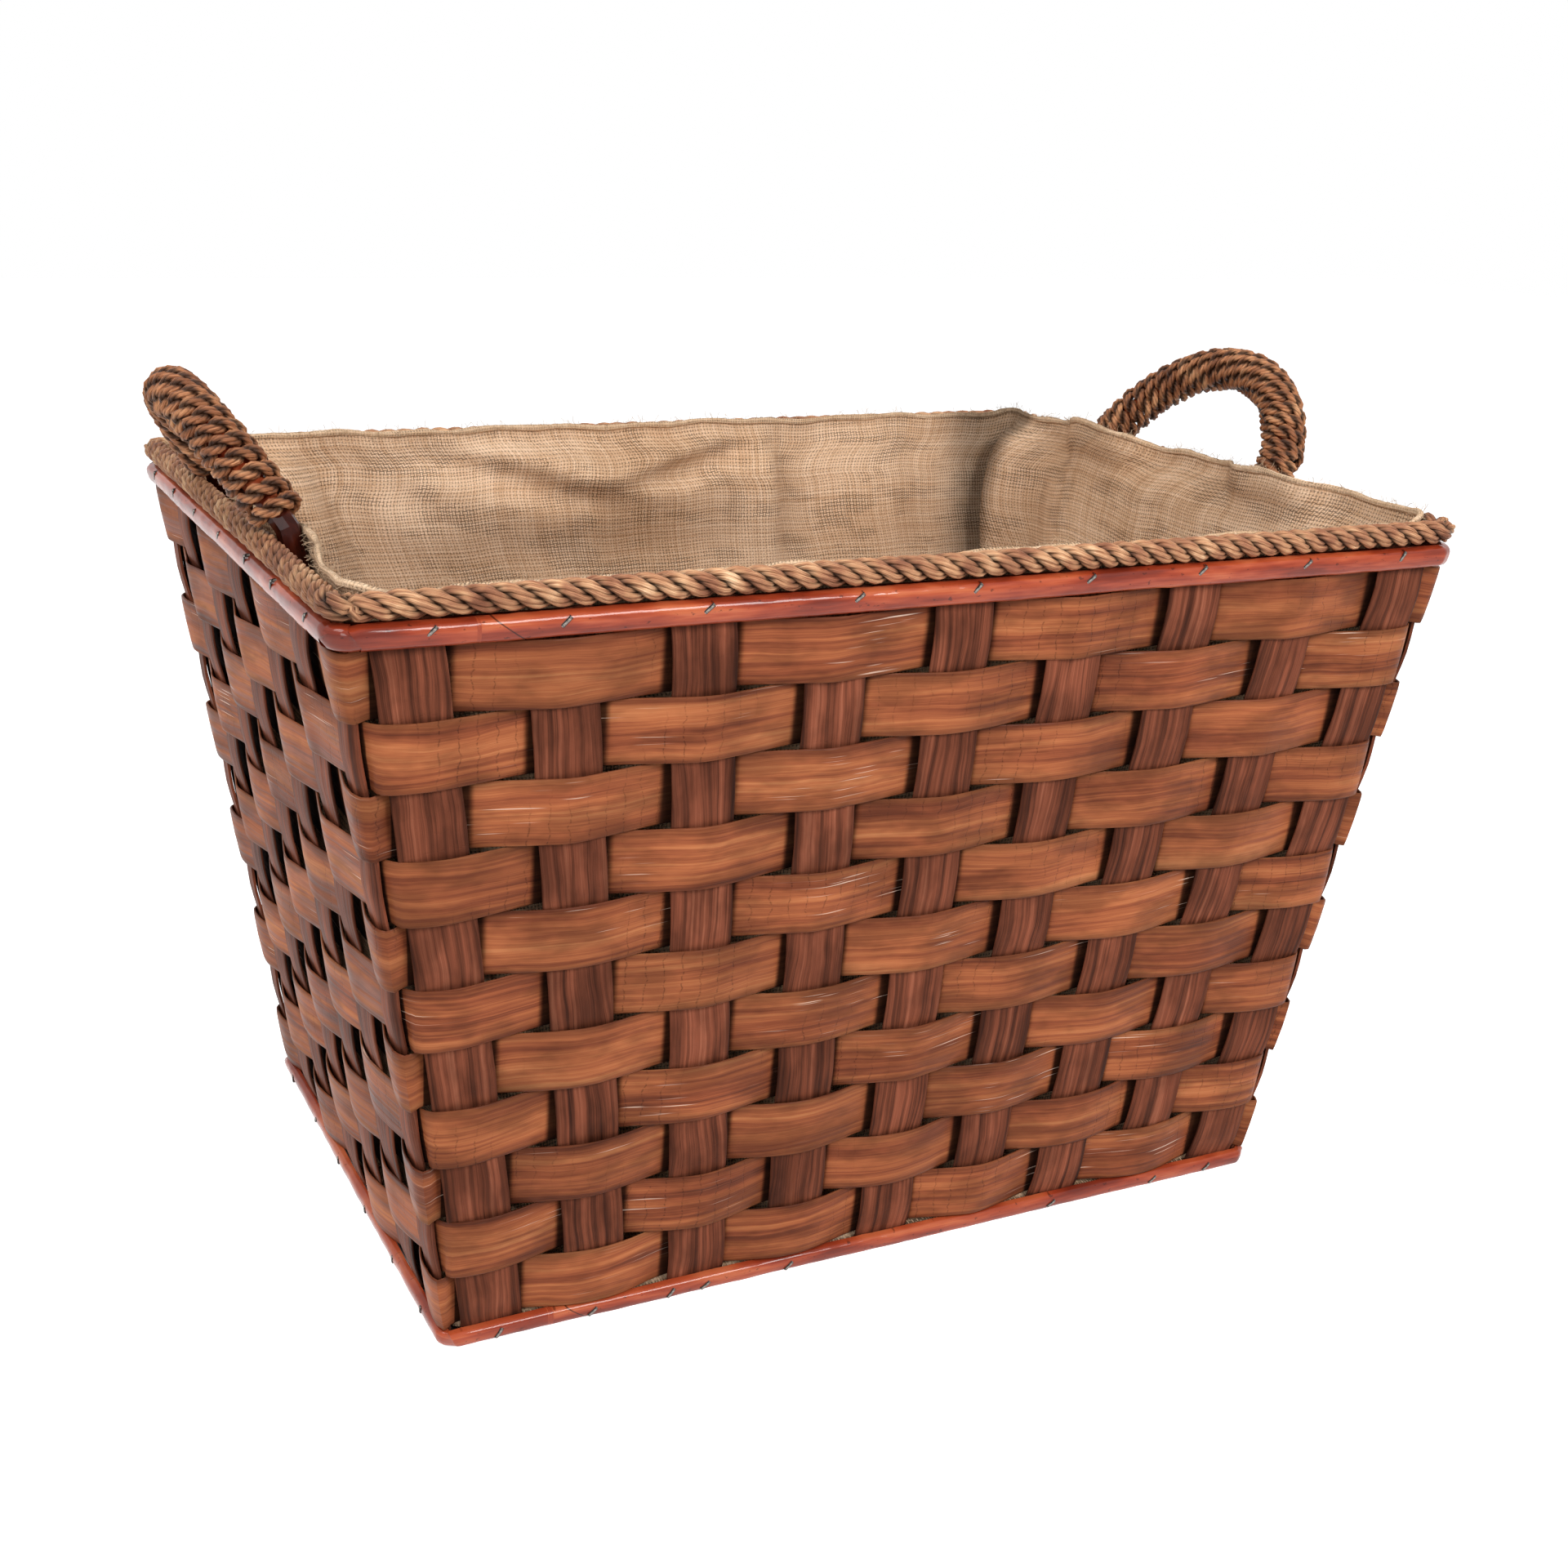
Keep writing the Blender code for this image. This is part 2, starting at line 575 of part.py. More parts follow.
def build():
    for old in list(bpy.data.objects):
        bpy.data.objects.remove(old, do_unlink=True)

    stake_wood = paint("stake_splint", (0.155, 0.060, 0.038), 0.52)
    weaver_wood = paint("weaver_splint", (0.340, 0.125, 0.052), 0.45)
    lacquered_cane = paint("lacquered_cane", (0.290, 0.042, 0.018), 0.22)
    rope_fibre = paint("twisted_rope", (0.300, 0.150, 0.078), 0.85)
    burlap = paint("burlap", (0.480, 0.325, 0.190), 0.95)

    for row in range(1, ROWS + 1):
        make_weaver(row, weaver_wood)
    for index in range(LONG_STAKES):
        make_stake(f"long_stake_{index + 1}", FRONT, index, stake_wood)
    for index in range(CROSS_STAKES):
        make_stake(f"cross_stake_{index + 1}", RIGHT, index, stake_wood)
    corner_names = ["front_right", "back_right", "back_left", "front_left"]
    for wall, corner in enumerate(corner_names):
        make_corner_stake(f"corner_stake_{corner}", wall, stake_wood)

    make_band("foot_band", 0.0, FOOT_BAND_HEIGHT, STAKE_FACE, FOOT_BAND_DEPTH, FOOT_BAND_FLAT,
              lacquered_cane)
    make_band("rim_outer_band", RIM_FOOT, RIM_BAND_HEIGHT, STAKE_FACE, RIM_BAND_DEPTH, 0.0,
              lacquered_cane)
    make_band("rim_inner_band", RIM_FOOT, RIM_BAND_HEIGHT, -STAKE_FACE, -INNER_BAND_DEPTH, 0.0,
              lacquered_cane)
    rope_path = [p.to_3d() + Vector((0, 0, ROPE_HEIGHT)) for p in ring_path(ROPE_HEIGHT, 0.0)]
    make_tube("rim_rope", rope_path, RIM_ROPE_DIAMETER, TUBE_BEVEL_RESOLUTION, True, rope_fibre)

    for side, word in ((-1, "left"), (1, "right")):
        make_handle_core(f"handle_core_{word}", side, lacquered_cane)
        make_handle_wrap(f"handle_wrap_{word}", side, rope_fibre)
    make_liner("liner", burlap)


build()
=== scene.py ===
import math
import random

import bmesh
import bpy
from mathutils import Matrix, Vector


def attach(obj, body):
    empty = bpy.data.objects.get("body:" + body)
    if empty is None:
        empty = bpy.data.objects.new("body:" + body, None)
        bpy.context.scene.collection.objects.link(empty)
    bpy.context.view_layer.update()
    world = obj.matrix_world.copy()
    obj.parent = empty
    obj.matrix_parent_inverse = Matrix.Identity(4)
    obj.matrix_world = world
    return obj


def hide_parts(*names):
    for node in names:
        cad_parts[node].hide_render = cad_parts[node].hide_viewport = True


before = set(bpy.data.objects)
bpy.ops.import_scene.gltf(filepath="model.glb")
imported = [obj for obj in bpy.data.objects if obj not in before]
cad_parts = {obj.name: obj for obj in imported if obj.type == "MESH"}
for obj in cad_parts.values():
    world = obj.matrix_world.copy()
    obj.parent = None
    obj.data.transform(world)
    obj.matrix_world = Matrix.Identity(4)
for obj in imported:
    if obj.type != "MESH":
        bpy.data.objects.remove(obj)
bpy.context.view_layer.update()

# Long and cross stakes
# Dark stained splints, 30 mm wide and 1.4 mm thick. Each is bent up at both ends out of the
# woven base, runs up two opposite walls and is held between the bands at foot and rim.

BASE_HALF_LENGTH, BASE_HALF_DEPTH = 0.2245, 0.1535
END_LEAN, SIDE_LEAN = math.radians(8.2), math.radians(7.15)
FOOT_CORNER_RADIUS, CORNER_FLARE = 0.0048, 0.0130
BASE_HEIGHT = 0.0042
BAND_TOP = 0.0085
WEAVE_FOOT, ROWS, ROW_HEIGHT = 0.0088, 11, 0.0303
RIM_FOOT, RIM_TOP = 0.3424, 0.3529
STRIP_WIDTH = 0.030
CORNER_STRIP_WIDTH = 0.018
CORNER_STRIP_START = math.radians(45)
OUTER_STAKE_EDGE = 0.0008
FRONT, RIGHT, BACK, LEFT = range(4)
ALONG = [Vector((1, 0, 0)), Vector((0, 1, 0)), Vector((-1, 0, 0)), Vector((0, -1, 0))]
OUTWARDS = [Vector((0, -1, 0)), Vector((1, 0, 0)), Vector((0, 1, 0)), Vector((-1, 0, 0))]
STAKES_ON = [9, 5, 9, 5]
UP = Vector((0, 0, 1))


def corner_radius(z):
    return FOOT_CORNER_RADIUS + CORNER_FLARE * z


def wall_reach(wall, z):
    """Half the wall's length, and how far it stands from the middle of the basket."""
    length = BASE_HALF_LENGTH + z * math.tan(END_LEAN)
    depth = BASE_HALF_DEPTH + z * math.tan(SIDE_LEAN)
    return (length, depth) if wall in (FRONT, BACK) else (depth, length)


def wall_face(wall):
    """Outward normal of a leaning wall."""
    lean = SIDE_LEAN if wall in (FRONT, BACK) else END_LEAN
    return OUTWARDS[wall] * math.cos(lean) - UP * math.sin(lean)


def wall_point(wall, along, outside, z):
    _, distance = wall_reach(wall, z)
    return ALONG[wall] * along + OUTWARDS[wall] * distance + UP * z + wall_face(wall) * outside


def corner_face(wall, angle):
    """Outward normal on the corner after a wall, turned by an angle from that wall."""
    share = angle / (math.pi / 2)
    return (wall_face(wall) * math.cos(share * math.pi / 2)
            + wall_face((wall + 1) % 4) * math.sin(share * math.pi / 2)).normalized()


def corner_point(wall, angle, outside, z):
    reach, distance = wall_reach(wall, z)
    radius = corner_radius(z)
    centre = ALONG[wall] * (reach - radius) + OUTWARDS[wall] * (distance - radius) + UP * z
    direction = OUTWARDS[wall] * math.cos(angle) + ALONG[wall] * math.sin(angle)
    return centre + direction * radius + corner_face(wall, angle) * outside


def corner_tail(z):
    """Flat part of a corner strip, on the end wall."""
    return CORNER_STRIP_WIDTH - (math.pi / 2 - CORNER_STRIP_START) * corner_radius(z)


def stake_place(wall, index, z):
    """Where a stake's middle stands along its wall."""
    reach, _ = wall_reach(wall, z)
    flat = reach - corner_radius(z)
    if wall in (FRONT, BACK):
        pitch = (2 * (flat - OUTER_STAKE_EDGE) - STRIP_WIDTH) / (STAKES_ON[wall] - 1)
    else:
        pitch = (2 * (flat - corner_tail(z)) + STRIP_WIDTH) / (STAKES_ON[wall] + 1)
    return (index - (STAKES_ON[wall] - 1) / 2) * pitch


def row_middle(row):
    """Height of the middle of a row, numbered from the rim."""
    return WEAVE_FOOT + (ROWS - row + 0.5) * ROW_HEIGHT


class Value:
    """What a node works out; a sum written with it adds nodes to the same tree."""

    def __init__(self, tree, socket):
        self.tree, self.socket = tree, socket

    def __add__(self, other):
        return work_out("ADD", self, other)

    def __sub__(self, other):
        return work_out("SUBTRACT", self, other)

    def __rsub__(self, other):
        return work_out("SUBTRACT", other, self)

    def __mul__(self, other):
        return work_out("MULTIPLY", self, other)

    def __truediv__(self, other):
        return work_out("DIVIDE", self, other)

    def __abs__(self):
        return work_out("ABSOLUTE", self)


def link(value, socket):
    value.tree.links.new(value.socket, socket)


def add_node(tree, kind, inputs=(), **settings):
    """A new node; inputs gives a constant or another node's value for each socket."""
    node = tree.nodes.new(kind)
    for setting, value in settings.items():
        setattr(node, setting, value)
    for key, value in dict(inputs).items():
        if isinstance(value, Value):
            link(value, node.inputs[key])
        else:
            node.inputs[key].default_value = value
    return node


def from_node(tree, kind, inputs=(), output=0, **settings):
    return Value(tree, add_node(tree, kind, inputs, **settings).outputs[output])


def work_out(operation, *values):
    tree = next(value.tree for value in values if isinstance(value, Value))
    return from_node(tree, "ShaderNodeMath", dict(enumerate(values)), operation=operation)


def vectors(operation, first, second, output=0):
    return from_node(first.tree, "ShaderNodeVectorMath", {0: first, 1: second}, output,
                     operation=operation)


def scaled(vector, scale):
    return from_node(vector.tree, "ShaderNodeVectorMath", {0: vector, 3: scale},
                     operation="SCALE")


def parts_of(vector):
    parts = add_node(vector.tree, "ShaderNodeSeparateXYZ", {0: vector}).outputs
    return [Value(vector.tree, part) for part in parts]


def new_tree(name, inputs):
    """Geometry Nodes tree with named inputs; gives the tree and the values of its inputs."""
    tree = bpy.data.node_groups.new(name, "GeometryNodeTree")
    tree.is_modifier = True
    tree.interface.new_socket("Geometry", in_out="INPUT", socket_type="NodeSocketGeometry")
    for label, kind in inputs:
        tree.interface.new_socket(label, in_out="INPUT", socket_type="NodeSocket" + kind)
    tree.interface.new_socket("Geometry", in_out="OUTPUT", socket_type="NodeSocketGeometry")
    given = tree.nodes.new("NodeGroupInput").outputs
    return tree, {socket.name: Value(tree, socket) for socket in given}


def captured(geometry, value, kind="FLOAT"):
    """Keeps a value on the geometry; gives the geometry and the kept value."""
    tree = geometry.tree
    node = tree.nodes.new("GeometryNodeCaptureAttribute")
    node.capture_items.new(kind, "Value")
    link(geometry, node.inputs[0])
    link(value, node.inputs[1])
    return Value(tree, node.outputs[0]), Value(tree, node.outputs[1])


def path_with_face(geometry, step):
    """Smooth even path through the given edges, facing the way that its points say."""
    tree = geometry.tree
    curve = from_node(tree, "GeometryNodeMeshToCurve", {"Mesh": geometry})
    curve = from_node(tree, "GeometryNodeCurveSplineType", {"Curve": curve},
                      spline_type="CATMULL_ROM")
    curve = from_node(tree, "GeometryNodeResampleCurve", {"Curve": curve, "Length": step},
                      mode="LENGTH")
    face = from_node(tree, "GeometryNodeInputNamedAttribute", {"Name": "face"},
                     data_type="FLOAT_VECTOR")
    return from_node(tree, "GeometryNodeSetCurveNormal", {"Curve": curve, "Normal": face},
                     mode="FREE")


def swept(path, profile):
    return from_node(path.tree, "GeometryNodeCurveToMesh",
                     {"Curve": path, "Profile Curve": profile, "Fill Caps": True})


def end_of_tree(mesh, along, across, material):
    """Gives the mesh its own map, in metres, then its material, and ends the tree."""
    tree = mesh.tree
    flat_map = from_node(tree, "ShaderNodeCombineXYZ", {0: along, 1: across})
    mesh = from_node(tree, "GeometryNodeStoreNamedAttribute",
                     {"Geometry": mesh, "Name": "UVMap", "Value": flat_map},
                     data_type="FLOAT2", domain="CORNER")
    mesh = from_node(tree, "GeometryNodeRealizeInstances", {0: mesh})
    mesh = from_node(tree, "GeometryNodeSetMaterial", {0: mesh, "Material": material})
    link(mesh, tree.nodes.new("NodeGroupOutput").inputs[0])


def build_strip_tree():
    """A strip of rounded section drawn along a path, for splints, bands and staples."""
    tree, given = new_tree("drawn_strip", [
        ("Width", "Float"), ("Thickness", "Float"), ("Squareness", "Float"), ("Back", "Float"),
        ("Crown", "Float"), ("Step", "Float"), ("Corners", "Int"), ("Unevenness", "Float"),
        ("Map Start", "Float"), ("Material", "Material")])
    path = path_with_face(given["Geometry"], given["Step"])
    path, along = captured(path, from_node(tree, "GeometryNodeSplineParameter", output="Length"))
    circle = from_node(tree, "GeometryNodeCurvePrimitiveCircle",
                       {"Resolution": given["Corners"], "Radius": 1.0})
    x, y, _ = parts_of(from_node(tree, "GeometryNodeInputPosition"))

    def squared(value, half):
        size = work_out("POWER", abs(value), given["Squareness"])
        return work_out("SIGN", value) * size * half

    half_width = given["Width"] / 2.0
    across = squared(x, half_width)
    out = squared(y, given["Thickness"] / 2.0)
    out = work_out("MAXIMUM", out, 0.0) + work_out("MINIMUM", out, 0.0) * given["Back"]
    share = across / half_width
    out = out + (1.0 - share * share) * given["Crown"]
    circle, kept_across = captured(circle, across)
    section = from_node(tree, "ShaderNodeCombineXYZ", {0: out, 1: across})
    profile = from_node(tree, "GeometryNodeSetPosition", {"Geometry": circle, "Position": section})
    noise = from_node(tree, "ShaderNodeTexNoise", {"Scale": 70.0, "Detail": 2.0})
    lump = (noise - 0.5) * given["Unevenness"]
    normal = from_node(tree, "GeometryNodeInputNormal")
    mesh = from_node(tree, "GeometryNodeSetPosition",
                     {"Geometry": swept(path, profile), "Offset": scaled(normal, lump)})
    end_of_tree(mesh, along + given["Map Start"], kept_across, given["Material"])
    return tree


def placed(name, data):
    """A new object, put into the scene."""
    thing = bpy.data.objects.new(name, data)
    bpy.context.scene.collection.objects.link(thing)
    return thing


def run_tree(piece, tree, inputs, material):
    """Runs a tree on a piece, and keeps what it makes as the piece's plain mesh."""
    modifier = piece.modifiers.new("make", "NODES")
    modifier.node_group = tree
    for item in tree.interface.items_tree:
        if item.in_out == "INPUT" and item.name in inputs:
            modifier[item.identifier] = inputs[item.name]
        elif item.in_out == "INPUT" and item.name == "Material":
            modifier[item.identifier] = material
    mesh = bpy.data.meshes.new_from_object(
        piece.evaluated_get(bpy.context.evaluated_depsgraph_get()))
    piece.modifiers.clear()
    piece.data = mesh
    mesh.name = piece.name
    return mesh


def made_along(name, tree, paths, inputs, material):
    """Runs a tree on paths of (points, faces, depths, closed)."""
    points, faces, depths, edges = [], [], [], []
    for path_points, path_faces, path_depths, closed in paths:
        first, count = len(points), len(path_points)
        points += path_points
        faces += path_faces
        depths += path_depths or [0.0] * count
        edges += [(first + i, first + i + 1) for i in range(count - 1)]
        if closed:
            edges.append((first + count - 1, first))
    guide = bpy.data.meshes.new(name + "_path")
    guide.from_pydata(points, edges, [])
    face = guide.attributes.new("face", "FLOAT_VECTOR", "POINT")
    face.data.foreach_set("vector", [number for vector in faces for number in vector])
    guide.attributes.new("deep", "FLOAT", "POINT").data.foreach_set("value", depths)
    piece = placed(name, guide)
    mesh = run_tree(piece, tree, inputs, material)
    bpy.data.meshes.remove(guide)
    bm = bmesh.new()
    bm.from_mesh(mesh)
    bmesh.ops.recalc_face_normals(bm, faces=bm.faces)
    bm.to_mesh(mesh)
    bm.free()
    mesh.shade_smooth()
    mesh.set_sharp_from_angle(angle=math.radians(60))
    return piece


def settle(piece, slot, *nodes):
    """The piece belongs to the basket and stands for the solids; the slot is not used."""
    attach(piece, "root")
    if nodes:
        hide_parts(*nodes)


def linear(hex_colour):
    """Scene colour of a colour written as six hex digits."""
    parts = [int(hex_colour[i:i + 2], 16) / 255 for i in (0, 2, 4)]
    return [p / 12.92 if p <= 0.04045 else ((p + 0.055) / 1.055) ** 2.4 for p in parts] + [1.0]


def new_finish(name, roughness, **constants):
    """Material with its tree, its shader and the map of the piece; constants go on the shader."""
    material = bpy.data.materials.new(name)
    material.use_nodes = True
    tree = material.node_tree
    shader = tree.nodes["Principled BSDF"]
    shader.inputs["Roughness"].default_value = roughness
    for label, value in constants.items():
        shader.inputs[label.replace("_", " ")].default_value = value
    return material, tree, shader, from_node(tree, "ShaderNodeUVMap", uv_map="UVMap")


def noise_at(vector, scales, detail=2.0, roughness=0.55, shift=0.0):
    """Noise on a vector stretched by a scale for each direction."""
    place = from_node(vector.tree, "ShaderNodeMapping", {
        "Vector": vector, "Location": (shift, shift, 0.0), "Scale": scales})
    return from_node(vector.tree, "ShaderNodeTexNoise", {
        "Vector": place, "Scale": 1.0, "Detail": detail, "Roughness": roughness})


def ramp(value, stops):
    """Colour ramp through (place, colour) stops."""
    node = add_node(value.tree, "ShaderNodeValToRGB", {"Fac": value})
    elements = node.color_ramp.elements
    while len(elements) < len(stops):
        elements.new(0.5)
    for element, (place, colour) in zip(elements, stops):
        element.position = place
        element.color = colour
    return Value(value.tree, node.outputs[0])


def between(value, low, high, to_low=0.0, to_high=1.0):
    """Smooth step of a value from one range to another."""
    return from_node(value.tree, "ShaderNodeMapRange",
                     {0: value, 1: low, 2: high, 3: to_low, 4: to_high},
                     interpolation_type="SMOOTHSTEP")


def mixed(colour, other, share=1.0, blend="MIX"):
    return from_node(colour.tree, "ShaderNodeMix", {0: share, 6: colour, 7: other}, 2,
                     data_type="RGBA", blend_type=blend)


def shaded(colour, value):
    """Colour multiplied by a grey value."""
    grey = from_node(value.tree, "ShaderNodeCombineColor", {0: value, 1: value, 2: value})
    return mixed(colour, grey, blend="MULTIPLY")


def finish_face(shader, colour, relief, strength, distance):
    """Gives the shader its colour and a fine relief."""
    link(colour, shader.inputs["Base Color"])
    bump = from_node(relief.tree, "ShaderNodeBump", {
        "Strength": strength, "Distance": distance, "Height": relief})
    link(bump, shader.inputs["Normal"])


def crossing_cracks(strip, along):
    """Fine dotted cracks across a splint, every 8 or 9 mm on some of its length."""
    turn = work_out("FRACT", along * 117.0 + noise_at(strip, (45.0, 120.0, 1.0)) * 0.8)
    line = between(abs(turn - 0.5), 0.01, 0.06, 1.0, 0.0)
    dots = between(noise_at(strip, (160.0, 900.0, 1.0), 1.0), 0.36, 0.62)
    zone = between(noise_at(strip, (9.0, 8.0, 1.0), 1.0, 0.5, 5.9), 0.50, 0.58)
    return line * dots * zone


def splint_finish(name, colours, figure_scale, streak_scale, roughness, shade, checks, scratch_glints,
                  **constants):
    """Stained splint: grain along the strip, darker edges, fine cracks, pale scratched streaks
    painted in part as glints, and painted shade where it runs under other strips.
    """
    material, tree, shader, strip = new_finish(name, roughness, **constants)
    along, across, _ = parts_of(strip)
    bend = noise_at(strip, (16.0, 30.0, 1.0), 2.0, 0.5, 2.4)
    bent = from_node(tree, "ShaderNodeCombineXYZ", {0: along, 1: across + bend * 0.008})
    figure = between(noise_at(bent, (5.0, figure_scale, 1.0), 3.0, 0.55), 0.26, 0.74)
    streak = between(noise_at(bent, (4.0, streak_scale, 1.0), 3.0, 0.6, 3.1), 0.30, 0.70)
    fibre = noise_at(bent, (40.0, 2400.0, 1.0), 2.0, 0.6, 7.7)
    colour = ramp(figure * 0.34 + streak * 0.30 + fibre * 0.36, colours)
    tone = between(noise_at(strip, (14.0, 0.0, 1.0), 1.0, 0.5, 11.3), 0.30, 0.70, 0.84, 1.14)
    blotch = between(noise_at(strip, (26.0, 62.0, 1.0), 3.0, 0.6, 23.1), 0.36, 0.62, 0.66, 1.06)
    edge = between(abs(across), 0.0090, 0.0150, 1.0, 0.60)
    crack = crossing_cracks(strip, along)
    deep = from_node(tree, "ShaderNodeAttribute", output="Fac", attribute_name="deep")
    # Painted shade where the strip runs under its neighbours (deep), on top of random tone and
    # darker edges.
    colour = shaded(colour, tone * blotch * (edge * between(deep, *shade))
                    * (1.0 - crack * checks))
    # Pale scratched streaks on worn zones; their near-white colour is partly a painted glint.
    scratch_glint = between(noise_at(strip, (24.0, 1100.0, 1.0), 1.0, 0.5, 15.1), 0.66, 0.74)
    worn = between(noise_at(strip, (11.0, 25.0, 1.0), 1.0, 0.5, 19.7), 0.55, 0.66)
    colour = mixed(colour, linear("EBCDB9"), scratch_glint * worn * scratch_glints)
    dull = work_out("MAXIMUM", between(deep, shade[0] - 0.1, shade[1]),
                    between(streak, 0.1, 0.9, roughness - 0.06, roughness + 0.12))
    link(dull, shader.inputs["Roughness"])
    finish_face(shader, colour, fibre * 0.4 + streak - crack, 0.30, 0.0004)
    return material


STAKE_THICKNESS = 0.0014
STAKE_COLOURS = [(0.16, linear("2E160F")), (0.38, linear("5C3223")), (0.60, linear("804733")),
                 (0.88, linear("9E624A"))]
BEND_RADIUS = 0.0045
STRIP_SHAPE = {"Width": 0.0295, "Squareness": 0.30, "Back": 1.0, "Crown": 0.0004, "Step": 0.003,
               "Corners": 20, "Unevenness": 0.0004}
strip_tree = build_strip_tree()
# Stakes take painted shade where a weaver covers them.
stake_finish = splint_finish("stained_stake", STAKE_COLOURS, 150.0, 480.0, 0.50,
                             (0.40, 0.95, 1.0, 0.50), 0.0, 0.0, Specular_IOR_Level=0.05)
hand = random.Random(41)


STAKE_SHOWN_OUT, STAKE_HIDDEN_OUT, STAKE_SPREAD = 0.0021, 0.0004, 0.0002
BASE_GAP = 0.0003


def stake_swell(wall_index, row):
    """A stake is pushed out where the weaver of a row runs behind it."""
    shows = (wall_index + row) % 2 == 1
    return (STAKE_SHOWN_OUT if shows else STAKE_HIDDEN_OUT) + hand.uniform(
        -STAKE_SPREAD, STAKE_SPREAD)


def wall_run(wall, index):
    """Points and faces of a stake down one wall, from the rim to the foot."""
    # The third number of each level is how deep the stake lies; it sets the stake's painted shade.
    levels = [(RIM_TOP, 0.0, 1.0), (RIM_FOOT, 0.0001, 0.7)]
    levels += [(row_middle(row), stake_swell(index, row), float((index + row) % 2 == 0))
               for row in range(1, ROWS + 1)]
    levels += [(BAND_TOP, 0.0, 0.7), (BASE_HEIGHT + BEND_RADIUS, 0.0, 1.0)]
    points = [wall_point(wall, stake_place(wall, index, z), out, z) for z, out, _ in levels]
    return points, [wall_face(wall)] * len(points), [deep for _, _, deep in levels]


def long_or_cross_stake(name, wall, index):
    opposite = (wall + 2) % 4
    crossed = RIGHT if wall == FRONT else FRONT
    down, down_faces, down_deep = wall_run(wall, index)
    up, up_faces, up_deep = wall_run(opposite, STAKES_ON[wall] - 1 - index)
    _, distance = wall_reach(wall, BASE_HEIGHT)
    place = stake_place(wall, index, BASE_HEIGHT)
    step = (STAKE_THICKNESS + BASE_GAP) / 2
    across = []
    for other in range(STAKES_ON[crossed]):
        over = (other % 2 == 0) == ((index % 2 == 0) == (wall == FRONT))
        height = BASE_HEIGHT + (step if over else -step)
        across.append((stake_place(crossed, other, BASE_HEIGHT), height))
    if wall == RIGHT:
        across.reverse()
    across = [(-distance + BEND_RADIUS, BASE_HEIGHT)] + [
        (run if wall == FRONT else -run, height) for run, height in across]
    across.append((distance - BEND_RADIUS, BASE_HEIGHT))
    base = [ALONG[wall] * place - OUTWARDS[wall] * run + UP * height for run, height in across]
    curl = BEND_RADIUS * (1 - math.sqrt(0.5))
    first_bend, last_bend = (
        ALONG[wall] * place + OUTWARDS[wall] * side * (distance - curl) + UP * (BASE_HEIGHT + curl)
        for side in (1, -1))
    points = down + [first_bend] + base + [last_bend] + up[::-1]
    faces = down_faces + [(OUTWARDS[wall] - UP).normalized()] + [-UP] * len(base)
    faces += [(OUTWARDS[opposite] - UP).normalized()] + up_faces[::-1]
    deep = down_deep + [0.5] * (len(base) + 2) + up_deep[::-1]
    shape = dict(STRIP_SHAPE, Thickness=STAKE_THICKNESS)
    shape["Map Start"] = 3.7 * index + (1.9 if wall == FRONT else 0.0)
    return made_along(name, strip_tree, [(points, faces, deep, False)], shape, stake_finish)


for index in range(STAKES_ON[FRONT]):
    piece = long_or_cross_stake(f"long_splint_{index + 1}", FRONT, index)
    settle(piece, "stake_splint", f"long_stake_{index + 1}")
for index in range(STAKES_ON[RIGHT]):
    piece = long_or_cross_stake(f"cross_splint_{index + 1}", RIGHT, index)
    settle(piece, "stake_splint", f"cross_stake_{index + 1}")

# Corner stakes
# A narrower splint folded round each upright corner, mostly on the end wall. It shows in every
# second row, where the weaver turns the corner behind it.

CORNER_ARC_STEPS, CORNER_TAIL_STEPS = 5, 4
CORNER_SHOWN_OUT, CORNER_HIDDEN_OUT = 0.0018, 0.0002


def corner_section(wall, outside, z):
    """Points across a corner strip from its edge on the long wall, with their run across it."""
    radius, tail = corner_radius(z), corner_tail(z)
    long_first = wall in (FRONT, BACK)
    section = []
    for i in range(CORNER_ARC_STEPS + 1):
        angle = CORNER_STRIP_START + (math.pi / 2 - CORNER_STRIP_START) * i / CORNER_ARC_STEPS
        turned = angle if long_first else math.pi / 2 - angle
        section.append((corner_point(wall, turned, outside, z), radius * angle))
    end_wall = (wall + 1) % 4 if long_first else wall
    reach, _ = wall_reach(end_wall, z)
    for i in range(1, CORNER_TAIL_STEPS + 1):
        run = tail * i / CORNER_TAIL_STEPS
        along = (run - (reach - radius)) if long_first else (reach - radius - run)
        section.append((wall_point(end_wall, along, outside, z), radius * math.pi / 2 + run))
    return section


def mapped_face(bm, piece_map, corners):
    """A face through corners of (vertex, place on the map)."""
    face = bm.faces.new([vert for vert, _ in corners])
    for loop, (_, place) in zip(face.loops, corners):
        loop[piece_map].uv = place


def piece_of(bm, name, material):
    """The finished mesh as a smooth piece of the scene."""
    bmesh.ops.recalc_face_normals(bm, faces=bm.faces)
    mesh = bpy.data.meshes.new(name)
    bm.to_mesh(mesh)
    bm.free()
    mesh.materials.append(material)
    mesh.shade_smooth()
    return placed(name, mesh)


